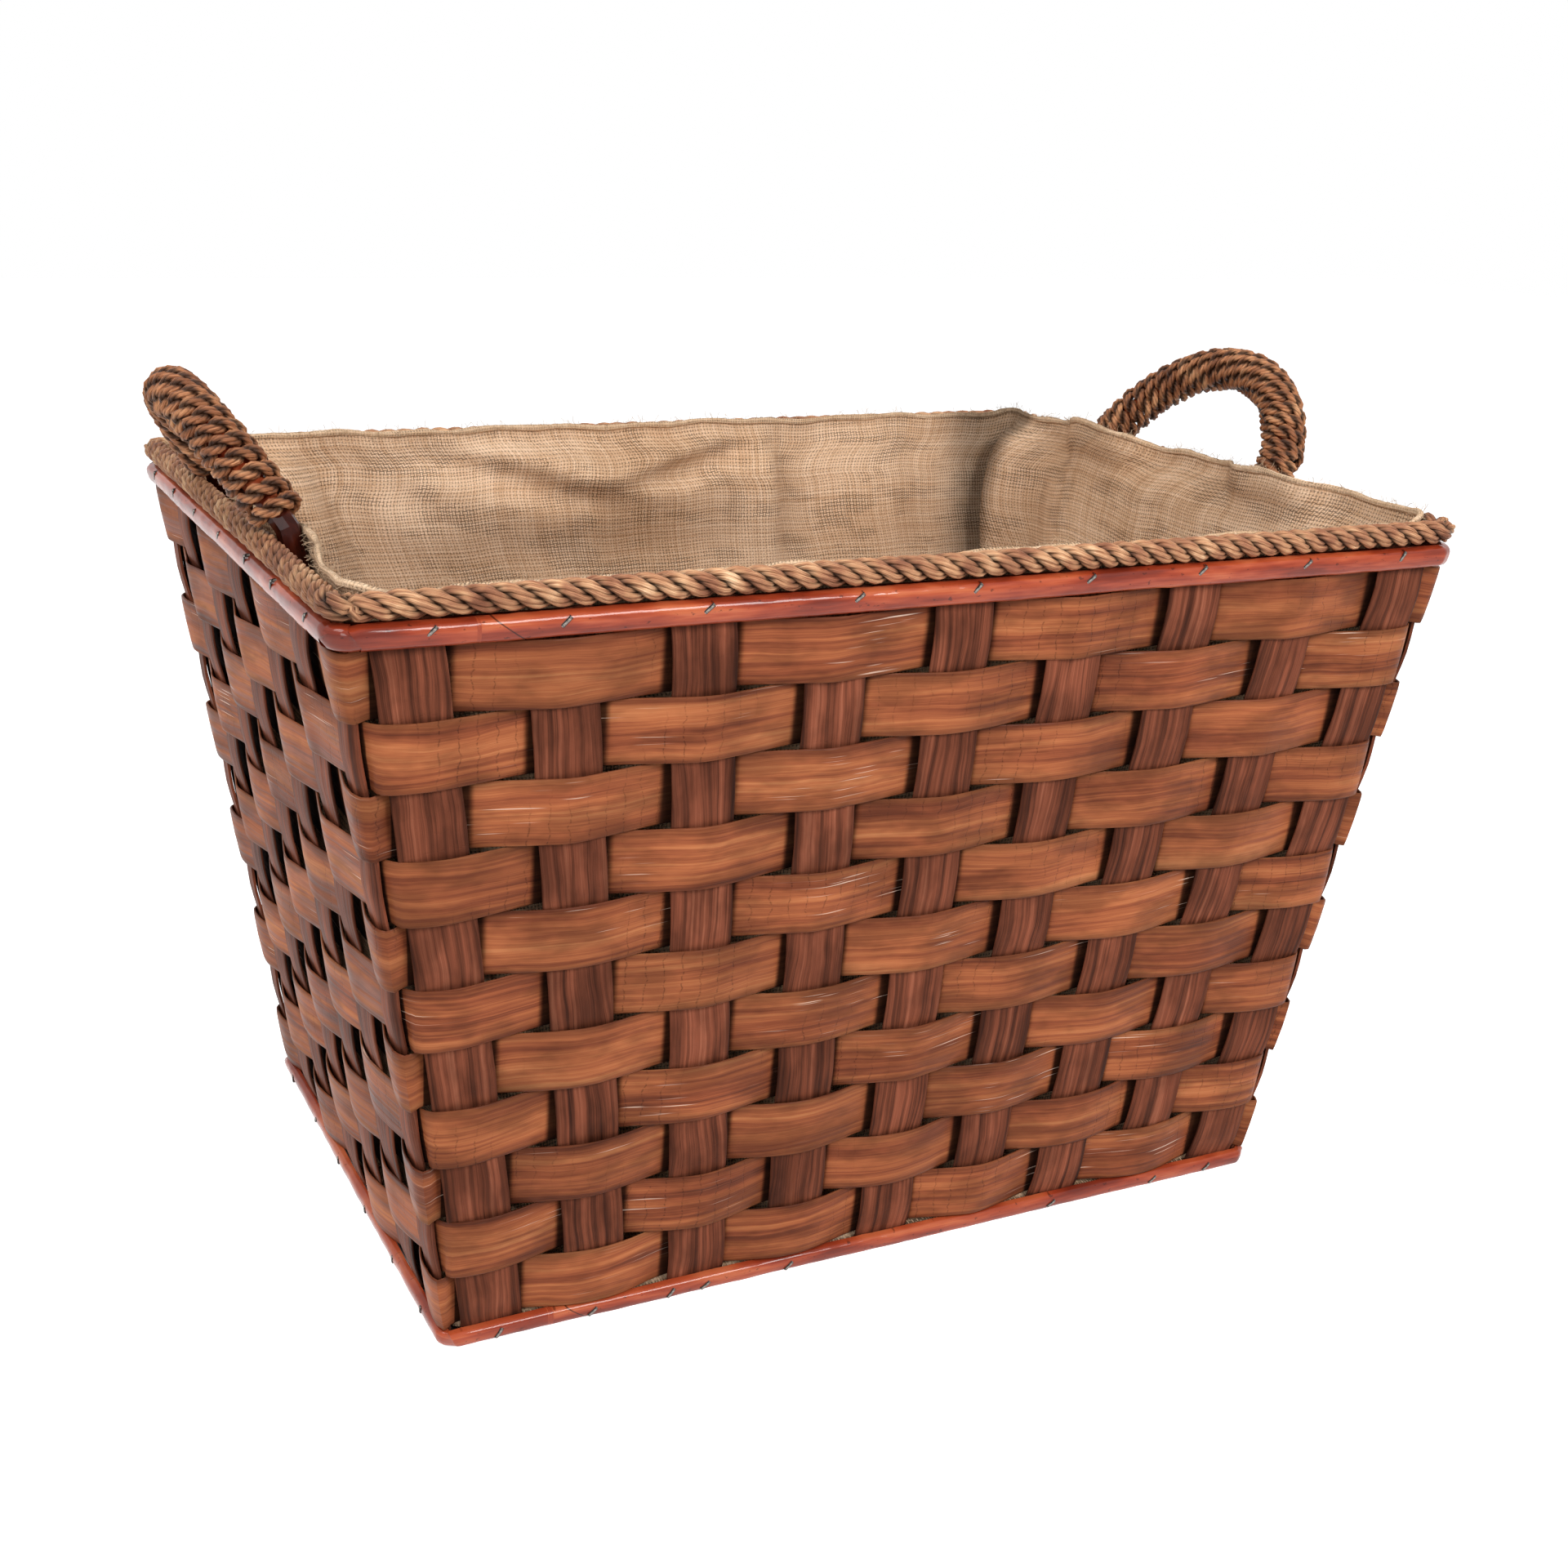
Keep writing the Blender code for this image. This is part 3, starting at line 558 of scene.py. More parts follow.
def corner_strip(name, wall):
    levels = [(BASE_HEIGHT - 0.001, 0.0), (BAND_TOP, 0.0)]
    for row in range(ROWS, 0, -1):
        middle = row_middle(row)
        swell = CORNER_SHOWN_OUT if row % 2 == 0 else CORNER_HIDDEN_OUT
        levels += [(middle - ROW_HEIGHT / 4, swell * 0.8), (middle, swell),
                   (middle + ROW_HEIGHT / 4, swell * 0.8)]
    levels += [(RIM_FOOT, 0.0), (RIM_TOP, 0.0)]
    bm = bmesh.new()
    piece_map = bm.loops.layers.uv.new("UVMap")
    sheets = []
    for side in (1, -1):
        rows = []
        for z, swell in levels:
            section = corner_section(wall, swell + side * STAKE_THICKNESS / 2, z)
            middle = (section[0][1] + section[-1][1]) / 2
            rows.append([(bm.verts.new(point), (z + wall * 2.3, run - middle))
                         for point, run in section])
        sheets.append(rows)
    outer, inner = sheets
    quads = [(low[i], low[i + 1], high[i + 1], high[i]) for sheet in sheets
             for low, high in zip(sheet, sheet[1:]) for i in range(len(low) - 1)]
    quads += [(outer[i][side], outer[i + 1][side], inner[i + 1][side], inner[i][side])
              for side in (0, -1) for i in range(len(levels) - 1)]
    quads += [(outer[level][i], outer[level][i + 1], inner[level][i + 1], inner[level][i])
              for level in (0, -1) for i in range(len(outer[0]) - 1)]
    for quad in quads:
        mapped_face(bm, piece_map, quad)
    piece = piece_of(bm, name, stake_finish)
    piece.data.set_sharp_from_angle(angle=math.radians(50))
    return piece


for wall, corner in enumerate(("front_right", "back_right", "back_left", "front_left")):
    piece = corner_strip(f"corner_splint_{corner}", wall)
    settle(piece, "stake_splint", f"corner_stake_{corner}")

# Weavers Eleven lighter splints woven round the stakes, one to a row.

WEAVER_THICKNESS = 0.0012
WEAVER_COLOURS = [(0.12, linear("4C2619")), (0.36, linear("80432B")), (0.60, linear("A25E3B")),
                  (0.92, linear("C08054"))]
OVER_PEAK, OVER_EDGE, UNDER_PEAK, UNDER_EDGE = 0.0044, 0.0027, -0.0032, -0.0026
CORNER_OVER, CORNER_UNDER, CORNER_LEAD = 0.0034, -0.0019, math.radians(4)
WEAVER_WIDTH = 0.0301
PEAK_SPREAD, PLACE_SPREAD, LIFT_SPREAD, TILT_SPREAD = (-0.0005, 0.0006), 0.001, 0.00015, 0.02
# Weavers take a near-black painted shadow where they dive under a stake.
weaver_finish = splint_finish("stained_weaver", WEAVER_COLOURS, 90.0, 360.0, 0.42,
                              (0.92, 0.985, 1.0, 0.12), 0.42, 0.75, Specular_IOR_Level=0.08)


def weaver_stations(row):
    """Path of a row's weaver, as it passes the stakes and turns the corners."""
    z = row_middle(row)
    stations = []
    for wall in range(4):
        last = STAKES_ON[wall] - 1
        for index in range(last + 1):
            over = (index + row) % 2 == 0
            peak = (OVER_PEAK + hand.uniform(*PEAK_SPREAD)) if over else UNDER_PEAK
            edge = OVER_EDGE if over else UNDER_EDGE
            place = stake_place(wall, index, z) + hand.uniform(-PLACE_SPREAD, PLACE_SPREAD)
            lift = hand.uniform(-LIFT_SPREAD, LIFT_SPREAD)
            tilt = hand.uniform(-TILT_SPREAD, TILT_SPREAD) if over else 0.0
            face = (wall_face(wall) + UP * tilt).normalized()
            for run, out in ((-STRIP_WIDTH / 2, edge), (0.0, peak), (STRIP_WIDTH / 2, edge)):
                # deep sets the painted shade in the splint finish: 1 under a stake, 0 on top of
                # one.
                deep = 1.0 if not over else (0.0 if run == 0 else 0.3)
                stations.append((wall_point(wall, place + run, out, z) + UP * lift, face, deep))
        over = row % 2 == 1
        out, deep = (CORNER_OVER, 0.1) if over else (CORNER_UNDER, 1.0)
        tail = corner_tail(z)
        turned = [CORNER_STRIP_START - CORNER_LEAD, math.radians(68), math.radians(90)]
        flat, _ = wall_reach((wall + 1) % 4 if wall in (FRONT, BACK) else wall, z)
        flat -= corner_radius(z)
        if wall in (FRONT, BACK):
            corner = [(corner_point(wall, angle, out, z), corner_face(wall, angle), deep)
                      for angle in turned]
            next_wall = (wall + 1) % 4
            corner.append((wall_point(next_wall, tail - flat, out * 0.8, z), wall_face(next_wall),
                           deep))
        else:
            corner = [(wall_point(wall, flat - tail, out * 0.8, z), wall_face(wall), deep)]
            corner += [(corner_point(wall, math.pi / 2 - angle, out, z),
                        corner_face(wall, math.pi / 2 - angle), deep) for angle in turned[::-1]]
        stations += corner
    start = next(i for i in range(1, len(stations)) if stations[i][2] + stations[i - 1][2] == 2)
    points, faces, depths = zip(*(stations[start:] + stations[:start]))
    return list(points), list(faces), list(depths), True


for row in range(1, ROWS + 1):
    shape = dict(STRIP_SHAPE, Width=WEAVER_WIDTH, Thickness=WEAVER_THICKNESS)
    shape["Map Start"] = 5.3 * row
    piece = made_along(f"woven_row_{row:02d}", strip_tree, [weaver_stations(row)], shape,
                       weaver_finish)
    settle(piece, "weaver_splint", f"weaver_row_{row:02d}")

# Bands at the foot and the rim
# Half-round cane, dyed and lacquered red-brown. One goes round the foot, one round the outside of
# the rim and a thinner one round its inside; steel staples hold them to the stakes.

BAND_BACK = 0.0011
FOOT_BAND_MIDDLE, FOOT_BAND_SIZE = 0.00425, (0.0085, 0.0046)
RIM_BAND_MIDDLE, RIM_BAND_SIZE = 0.34765, (0.0105, 0.0055)
CORNER_ANGLES = [math.radians(90 * i / 6) for i in range(7)]
JOINT_PLACE = 0.012


def ring_stations(z, outside, spacing=0.045, waver=0.0):
    """Path of a closed ring round the walls."""
    points, faces = [], []
    for wall in range(4):
        reach, _ = wall_reach(wall, z)
        flat = reach - corner_radius(z)
        count = max(2, round(2 * flat / spacing))
        for i in range(1, count):
            along = -flat + 2 * flat * i / count
            points.append(wall_point(wall, along, outside, z) + UP * hand.uniform(-waver, waver))
            faces.append(wall_face(wall))
        for angle in CORNER_ANGLES:
            points.append(corner_point(wall, angle, outside, z))
            faces.append(corner_face(wall, angle))
    return points, faces, None, True


def cane_finish(name, coat, on_strip):
    """Lacquered cane: streaks along it and dark flecks, and on a band the slanting joint; off a
    band, painted shade below the winding's ends.
    """
    material, tree, shader, place = new_finish(name, 0.45, Specular_IOR_Level=0.05,
                                               Coat_Weight=coat, Coat_Roughness=0.08, Coat_IOR=1.45)
    if not on_strip:
        place = from_node(tree, "ShaderNodeTexCoord", output="Object")
    scale = 1.0 if on_strip else 4.0
    broad = between(noise_at(place, (16.0 * scale, 130.0, 30.0), 3.0, 0.6), 0.3, 0.7)
    fibre = noise_at(place, (12.0 * scale, 1500.0, 60.0), 2.0, 0.6, 2.7)
    colour = ramp(broad * 0.7 + fibre * 0.3, [
        (0.10, linear("642012")), (0.42, linear("90351C")), (0.70, linear("AA4A2A")),
        (0.95, linear("C46A42"))])
    darkening = between(noise_at(place, (240.0, 420.0, 200.0), 2.0, 0.6, 9.1), 0.64, 0.71, 1.0, 0.45)
    relief = broad + fibre * 0.2
    along, across, up = parts_of(place)
    if on_strip:
        joint = between(abs(along - across * 1.35 - JOINT_PLACE), 0.00025, 0.0007, 0.22, 1.0)
        darkening, relief = darkening * joint, relief + joint
    else:
        # Painted shade on everything below 0.37 m: the legs under the winding's ends and the inner
        # rim band.
        darkening = darkening * between(up, 0.370, 0.390, 0.16, 1.0)
    finish_face(shader, shaded(colour, darkening), relief, 0.16, 0.0006)
    return material


cane = cane_finish("lacquered_cane_gloss", 0.65, True)
core_cane = cane_finish("lacquered_core_gloss", 0.2, False)
BAND_SHAPE = {"Squareness": 0.68, "Back": 0.02, "Crown": 0.0, "Corners": 20,
              "Unevenness": 0.0009}
for name, node, middle, size, step in (
        ("foot_cane", "foot_band", FOOT_BAND_MIDDLE, FOOT_BAND_SIZE, 0.003),
        ("rim_cane", "rim_outer_band", RIM_BAND_MIDDLE, RIM_BAND_SIZE, 0.0018)):
    shape = dict(BAND_SHAPE, Width=size[0], Thickness=2 * size[1], Step=step)
    piece = made_along(name, strip_tree, [ring_stations(middle, BAND_BACK, waver=0.0003)], shape,
                       cane)
    settle(piece, "lacquered_cane", node)
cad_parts["rim_inner_band"].data.materials[0] = core_cane

STAPLE_WIRE, STAPLE_CROWN, STAPLE_SLANT = 0.0008, 0.0056, math.radians(48)
LEG_END, LEG_TOP = -0.0022, -0.0006
PLACE_SLIP, SLANT_SLIP, HEIGHT_SLIP = 0.003, 0.25, 0.0006
steel, _, shader, wire_map = new_finish("staple_steel", 0.5, Metallic=0.6)
tarnish = noise_at(wire_map, (900.0, 500.0, 1.0))
# The wire's sides are painted near black: a painted shadow outline round each staple.
outline_shade = between(abs(parts_of(wire_map)[1]), 0.0004, 0.0006, 1.0, 0.06)
wire_colour = ramp(tarnish, [(0.35, linear("4E453F")), (0.65, linear("A29A92"))])
link(shaded(wire_colour, outline_shade), shader.inputs["Base Color"])
link(between(tarnish, 0.3, 0.7, 0.28, 0.5), shader.inputs["Roughness"])


def staple_runs(z, surface, spacing, front_places):
    """Slanting staples round a band, each with a leg, a crown and a leg."""
    runs = []
    for wall in range(4):
        reach, _ = wall_reach(wall, z)
        count = round(2 * reach / spacing)
        places = [reach * (2 * (i + 0.5) / count - 1) + hand.uniform(-PLACE_SLIP, PLACE_SLIP)
                  for i in range(count)]
        for place in (front_places if wall == FRONT else places):
            slant = STAPLE_SLANT + hand.uniform(-SLANT_SLIP, SLANT_SLIP)
            middle = z + hand.uniform(-HEIGHT_SLIP, HEIGHT_SLIP)
            half = Vector((math.cos(slant), math.sin(slant))) * STAPLE_CROWN / 2
            points = []
            for side, depth in ((-1, LEG_END), (-1, LEG_TOP), (-0.85, 0.0), (0.85, 0.0),
                                (1, LEG_TOP), (1, LEG_END)):
                out = surface + depth + STAPLE_WIRE * 0.30
                points.append(wall_point(wall, place + half.x * side, out, middle + half.y * side))
            runs.append((points, [wall_face(wall)] * len(points), None, False))
    return runs


STAPLE_SHAPE = {"Width": STAPLE_WIRE * 2.4, "Thickness": STAPLE_WIRE, "Squareness": 0.9,
                "Back": 1.0, "Step": 0.0006, "Corners": 8}
piece = made_along("rim_staples", strip_tree, staple_runs(
    RIM_BAND_MIDDLE + 0.0024, BAND_BACK + RIM_BAND_SIZE[1] - 0.0005, 0.060, [
        -0.2408, -0.1865, -0.1253, -0.0563, 0.0017, 0.0606, 0.1222, 0.1835, 0.2420]),
    STAPLE_SHAPE, steel)
settle(piece, "lacquered_cane")
piece = made_along("foot_staples", strip_tree, staple_runs(
    FOOT_BAND_MIDDLE - 0.0004, BAND_BACK + FOOT_BAND_SIZE[1] - 0.0001, 0.052, [
        -0.203, -0.157, -0.117, -0.099, -0.054, 0.100, 0.165, 0.201]), STAPLE_SHAPE, steel)
settle(piece, "lacquered_cane")

# Rim rope
# A three-strand laid rope, 12 mm thick, stained brown, that lies on top of the rim band right
# round the basket. Its strands are themselves twisted from yarns.

ROPE_HEIGHT, ROPE_DIAMETER = 0.3592, 0.012


def build_rope_tree():
    """A rope laid from strands of twisted yarns, along a path that faces one way."""
    tree, given = new_tree("laid_rope", [
        ("Step", "Float"), ("Strands", "Int"), ("Strand Offset", "Float"), ("Lay", "Float"),
        ("Yarns", "Int"), ("Yarn Offset", "Float"), ("Yarn Lay", "Float"),
        ("Yarn Radius", "Float"), ("Flatness", "Float"), ("Unevenness", "Float"),
        ("Material", "Material")])

    def laid(curve, count, offset, lay, flatness):
        """Copies of the curve wound round it, a whole number of turns at about one lay each."""
        factor = from_node(tree, "GeometryNodeSplineParameter", output="Factor")
        run = from_node(tree, "GeometryNodeSplineLength", output="Length")
        curve, kept = captured(curve, factor * work_out("ROUND", run / lay))
        normal = from_node(tree, "GeometryNodeInputNormal")
        side = vectors("CROSS_PRODUCT", from_node(tree, "GeometryNodeInputTangent"), normal)
        copies = add_node(tree, "GeometryNodeDuplicateElements",
                          {"Geometry": curve, "Amount": count}, domain="SPLINE").outputs
        angle = (kept + Value(tree, copies["Duplicate Index"]) / count) * math.tau
        out = scaled(normal, work_out("COSINE", angle) * offset * flatness)
        wide = scaled(side, work_out("SINE", angle) * offset)
        return from_node(tree, "GeometryNodeSetPosition", {
            "Geometry": Value(tree, copies[0]), "Offset": vectors("ADD", out, wide)})

    path = path_with_face(given["Geometry"], given["Step"])
    place = from_node(tree, "GeometryNodeInputPosition")
    path, rope_middle = captured(path, place, "VECTOR")
    strands = laid(path, given["Strands"], given["Strand Offset"], given["Lay"],
                   given["Flatness"])
    strands = from_node(tree, "GeometryNodeSetCurveNormal", {"Curve": strands},
                        mode="MINIMUM_TWIST")
    yarns = laid(strands, given["Yarns"], given["Yarn Offset"], given["Yarn Lay"], 1.0)
    noise = from_node(tree, "ShaderNodeTexNoise", {"Vector": place, "Scale": 160.0}, 1)
    drift = vectors("SUBTRACT", noise, (0.5, 0.5, 0.5))
    yarns = from_node(tree, "GeometryNodeSetPosition", {
        "Geometry": yarns, "Offset": scaled(drift, given["Unevenness"])})
    yarns, along = captured(yarns, from_node(tree, "GeometryNodeSplineParameter",
                                             output="Length"))
    circle = from_node(tree, "GeometryNodeCurvePrimitiveCircle",
                       {"Resolution": 7, "Radius": given["Yarn Radius"]})
    circle, around = captured(circle, from_node(tree, "GeometryNodeSplineParameter",
                                                output="Length"))
    full = given["Strand Offset"] + given["Yarn Offset"] + given["Yarn Radius"]
    mesh = from_node(tree, "GeometryNodeStoreNamedAttribute", {
        "Geometry": swept(yarns, circle), "Name": "height",
        "Value": vectors("DISTANCE", place, rope_middle, 1) / full},
        data_type="FLOAT", domain="POINT")
    end_of_tree(mesh, along, around, given["Material"])
    return tree


def rope_finish(name, shades, gloss, left_end_shade=1.0):
    """Stained rope: fibres along each yarn, with painted shade where the yarns lie deep and a
    painted shade factor on the rope's left end.
    """
    material, tree, shader, yarn = new_finish(name, gloss, Specular_IOR_Level=0.20)
    place = from_node(tree, "ShaderNodeTexCoord", output="Object")
    height = from_node(tree, "ShaderNodeAttribute", output="Fac", attribute_name="height")
    fibre = noise_at(yarn, (90.0, 3200.0, 1.0), 3.0, 0.65)
    patch = noise_at(place, (70.0, 70.0, 70.0), 2.0, 0.6)
    # Painted shade: darker where the yarns lie deep, and on the left end by the given factor.
    depth = (between(height, 0.58, 0.95, 0.15, 1.08)
             * between(parts_of(place)[0], -0.284, -0.262, left_end_shade, 1.0))
    finish_face(shader, shaded(ramp(fibre * 0.55 + patch * 0.45, shades), depth),
                fibre, 0.55, 0.0005)
    return material


rope_tree = build_rope_tree()
# The rim rope takes painted shade on its left end.
rim_rope_finish = rope_finish("stained_rope", [
    (0.34, linear("5F3523")), (0.45, linear("936046")), (0.55, linear("C08E67")),
    (0.66, linear("EDC8A0"))], 0.50, 0.70)
ring = ring_stations(ROPE_HEIGHT, 0.0, waver=0.0003)
piece = made_along("rim_laid_rope", rope_tree, [ring], {
    "Step": 0.0021, "Strands": 3, "Strand Offset": 0.0031, "Lay": 0.030, "Yarns": 5,
    "Yarn Offset": 0.00170, "Yarn Lay": -0.050, "Yarn Radius": 0.00122, "Flatness": 1.0,
    "Unevenness": 0.0012}, rim_rope_finish)
settle(piece, "twisted_rope", "rim_rope")

# Handles
# Each is a hoop of lacquered cane, whose legs run down inside the end wall behind the liner. Above
# the rim a two-strand rope is wound round it, turn beside turn, from one foot to the other.

HOOP_RADIUS, HOOP_CENTRE_DROP, HANDLE_LEAN = 0.081, 0.018, math.radians(33)
BEND_START, HANDLE_BEND_RADIUS = 0.003, 0.020
CORE_DIAMETER, WINDING_DIAMETER, CLEARANCE = 0.011, 0.0066, 0.0003
LEG_OFFSET = ROPE_DIAMETER / 2 + CLEARANCE + CORE_DIAMETER / 2
WINDING_LIFT = 0.0058
WINDING_START = (ROPE_DIAMETER + WINDING_DIAMETER) / 2 + CLEARANCE + WINDING_LIFT
WINDING_TURNS, POINTS_PER_TURN = 22.5, 16


def handle_lean(climb):
    return min(END_LEAN + max(climb - BEND_START, 0) / HANDLE_BEND_RADIUS, HANDLE_LEAN)


def leaning_point(side, across, climb):
    """Point of the handle's leaning surface: across it, and climbing it from the rim rope."""
    beside_wall = min(climb, BEND_START)
    reach = BASE_HALF_LENGTH + ROPE_HEIGHT * math.tan(END_LEAN)
    outwards = reach - LEG_OFFSET + beside_wall * math.sin(END_LEAN)
    height = ROPE_HEIGHT + beside_wall * math.cos(END_LEAN)
    lean = handle_lean(climb)
    straight = climb - beside_wall - HANDLE_BEND_RADIUS * (lean - END_LEAN)
    outwards += HANDLE_BEND_RADIUS * (math.cos(END_LEAN) - math.cos(lean))
    outwards += straight * math.sin(lean)
    height += HANDLE_BEND_RADIUS * (math.sin(lean) - math.sin(END_LEAN))
    height += straight * math.cos(lean)
    return Vector((side * outwards, across, height))


def hoop_point(side, angle):
    climb = HOOP_RADIUS * math.sin(angle) - HOOP_CENTRE_DROP
    return leaning_point(side, HOOP_RADIUS * math.cos(angle), climb), climb


TAIL_TURN, TAIL_DIVE, FOOT_TURN_DROPS = 0.5, 0.0012, (0.0048, 0.0096)
FOOT_TURN_ANGLE, FOOT_TURN_STEPS = 200, 12


def wound_point(side, angle, turn):
    """Point of the winding beside a place of the hoop, and the way that it faces."""
    radius = (CORE_DIAMETER + WINDING_DIAMETER) / 2 + CLEARANCE
    middle, climb = hoop_point(side, angle)
    direction = hoop_point(side, angle + 1e-4)[0] - hoop_point(side, angle - 1e-4)[0]
    lean = handle_lean(climb)
    inwards = Vector((-side * math.cos(lean), 0, math.sin(lean)))
    arm = inwards * math.cos(turn) + inwards.cross(direction.normalized()) * math.sin(turn)
    return middle + arm * radius, arm


def winding_paths(side, near_tail):
    """Left-hand helix round the hoop, with a last half turn across the leg at each foot."""
    start = math.asin((WINDING_START + HOOP_CENTRE_DROP) / HOOP_RADIUS)
    end = math.pi - start
    count = round(WINDING_TURNS * POINTS_PER_TURN)
    first, last = -round(TAIL_TURN * POINTS_PER_TURN), count + round(near_tail * POINTS_PER_TURN)
    helix = []
    for i in range(first, last + 1):
        angle = start + (end - start) * min(max(i, 0), count) / count
        beyond = max(-i, i - count, 0) / POINTS_PER_TURN / TAIL_TURN
        angle += math.copysign(TAIL_DIVE / HOOP_RADIUS * beyond, i)
        helix.append(wound_point(side, angle, math.pi / 2 + math.tau * i / POINTS_PER_TURN))
    runs = [helix]
    for foot, way in ((start, -1), (end, 1)):
        for extra in (FOOT_TURN_DROPS if near_tail == TAIL_TURN or way == -1 else ()):
            half_turn = []
            for i in range(FOOT_TURN_STEPS + 1):
                done = i / FOOT_TURN_STEPS
                drop = extra + TAIL_DIVE * done
                turn = way * math.radians(FOOT_TURN_ANGLE * (done - 0.5))
                half_turn.append(wound_point(side, foot + way * drop / HOOP_RADIUS, turn))
            runs.append(half_turn)
    return [([point for point, _ in run], [face for _, face in run], None, False) for run in runs]


handle_rope_finish = rope_finish("stained_handle_rope", [
    (0.34, linear("5E3724")), (0.46, linear("935C3C")), (0.55, linear("BC8058")),
    (0.66, linear("E6B384"))], 0.46)
for side, word, near_tail in ((-1, "left", 0.45), (1, "right", TAIL_TURN)):
    paths = winding_paths(side, near_tail)
    piece = made_along(f"{word}_handle_winding", rope_tree, paths, {
        "Step": 0.0016, "Strands": 2, "Strand Offset": 0.0020, "Lay": 0.0150,
        "Yarns": 4, "Yarn Offset": 0.0010, "Yarn Lay": -0.0160,
        "Yarn Radius": 0.00115, "Flatness": 0.75, "Unevenness": 0.0006}, handle_rope_finish)
    settle(piece, "twisted_rope", f"handle_wrap_{word}")
    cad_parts[f"handle_core_{word}"].data.materials[0] = core_cane

# Liner
# An open bag of coarse burlap that hangs inside the basket from the rim. It covers the handles'
# legs and sags in soft folds, and its raw edge is rolled into a thick soft hem beside the rope.

LINER_FOOT = 0.0062
LEG_FOOT = ROPE_HEIGHT - 0.092
POUCH_PLACE = math.sqrt(HOOP_RADIUS ** 2 - HOOP_CENTRE_DROP ** 2)
POUCH_HALF_WIDTH = CORE_DIAMETER / 2 + WINDING_DIAMETER + 0.005
POUCH_INSET = LEG_OFFSET + CORE_DIAMETER / 2 + 0.0012
TAIL_ROOM = 0.0068
HEM_ROLL = 0.0030
HEM_INSET = ROPE_DIAMETER / 2 + CLEARANCE + HEM_ROLL / 2
HEM_RISE = [0.0014, 0.0050, 0.0038, 0.0036]
HEM_WAVES = ((0.0008, 0.019, 2.1), (0.0005, 0.0071, 1.0))  # height, length, turn from wall to wall
FOOT_COVER_WIDTH = 0.055
FOOT_COVER = {(RIGHT, 1): 0.0050, (RIGHT, -1): 0.0030, (LEFT, -1): 0.0040, (LEFT, 1): 0.0}
CORNER_CUT, CORNER_INSET = 0.012, 0.0125
WALL_STEPS, CORNER_POINTS, LEVELS, FLOOR_RINGS = (72, 52, 72, 52), 8, 90, 24
WEAVE_PITCH = 0.0019
# Folds: wall, place along it, height, slant, half width, half height, how far inwards
FOLDS = [
    (BACK, 0.020, 0.330, 0.00, 0.180, 0.044, 0.0140),
    (BACK, 0.045, 0.338, 2.40, 0.045, 0.026, 0.0070),
    (BACK, 0.080, 0.334, 2.40, 0.046, 0.026, -0.0100),
    (BACK, -0.014, 0.344, -2.90, 0.034, 0.020, 0.0050),
    (BACK, -0.046, 0.340, -2.90, 0.036, 0.020, -0.0080),
    (BACK, -0.084, 0.315, 0.06, 0.015, 0.085, 0.0100),
    (BACK, -0.110, 0.320, 0.10, 0.026, 0.060, -0.0060),
    (BACK, 0.200, 0.315, 0.45, 0.026, 0.070, 0.0180),
    (BACK, 0.172, 0.322, 0.45, 0.024, 0.055, -0.0090),
    (BACK, 0.148, 0.331, 0.90, 0.024, 0.030, -0.0060),
    (BACK, -0.160, 0.300, 0.00, 0.040, 0.120, 0.0120),
    (BACK, -0.240, 0.300, 0.00, 0.044, 0.130, -0.0120),
    (RIGHT, 0.176, 0.300, -0.06, 0.034, 0.120, 0.0260),
    (RIGHT, 0.105, 0.336, 2.00, 0.036, 0.028, -0.0090),
    (RIGHT, 0.078, 0.342, 2.00, 0.032, 0.028, 0.0070),
    (RIGHT, 0.010, 0.315, 0.20, 0.070, 0.048, 0.0090),
    (RIGHT, -0.120, 0.325, 0.20, 0.050, 0.040, 0.0060),
    (LEFT, 0.150, 0.320, 0.20, 0.040, 0.040, 0.0080),
    (LEFT, -0.140, 0.310, -0.20, 0.040, 0.045, 0.0070),
    (FRONT, -0.150, 0.320, 0.30, 0.050, 0.045, 0.0070),
    (FRONT, 0.090, 0.315, -0.30, 0.060, 0.045, 0.0060),
]


def ease(value):
    value = min(max(value, 0.0), 1.0)
    return value * value * (3 - 2 * value)


def swell(distance, half_width):
    """Soft rise to 1 in the middle of a width, 0 outside it."""
    share = min(abs(distance) / half_width, 1.0)
    return (1 - share * share) ** 2


def hem_height(wall, place):
    rise = HEM_RISE[wall] + sum(height * math.sin(place / length + turn * wall)
                                for height, length, turn in HEM_WAVES)
    if wall in (RIGHT, LEFT):
        for end in (1, -1):
            rise += FOOT_COVER[wall, end] * swell(place - end * POUCH_PLACE, FOOT_COVER_WIDTH)
    return ROPE_HEIGHT + rise


WALL_INSET, LEAST_INSET, FOOT_INSET = 0.0086, 0.0056, 0.0013
PRESS_START, PRESS_LENGTH = RIM_FOOT - 0.012, 0.018
BROAD_WAVE, NARROW_WAVE, WAVE_DEPTH = 0.134, 0.076, 0.0085
CALM_START, CALM_LENGTH = 0.347, 0.014
COVER_WIDTH, BARE_COVER_WIDTH, SPAN_WIDTH = 0.034, 0.070, 0.045
COVER_FOOT, COVER_LENGTH = LEG_FOOT - 0.050, 0.040


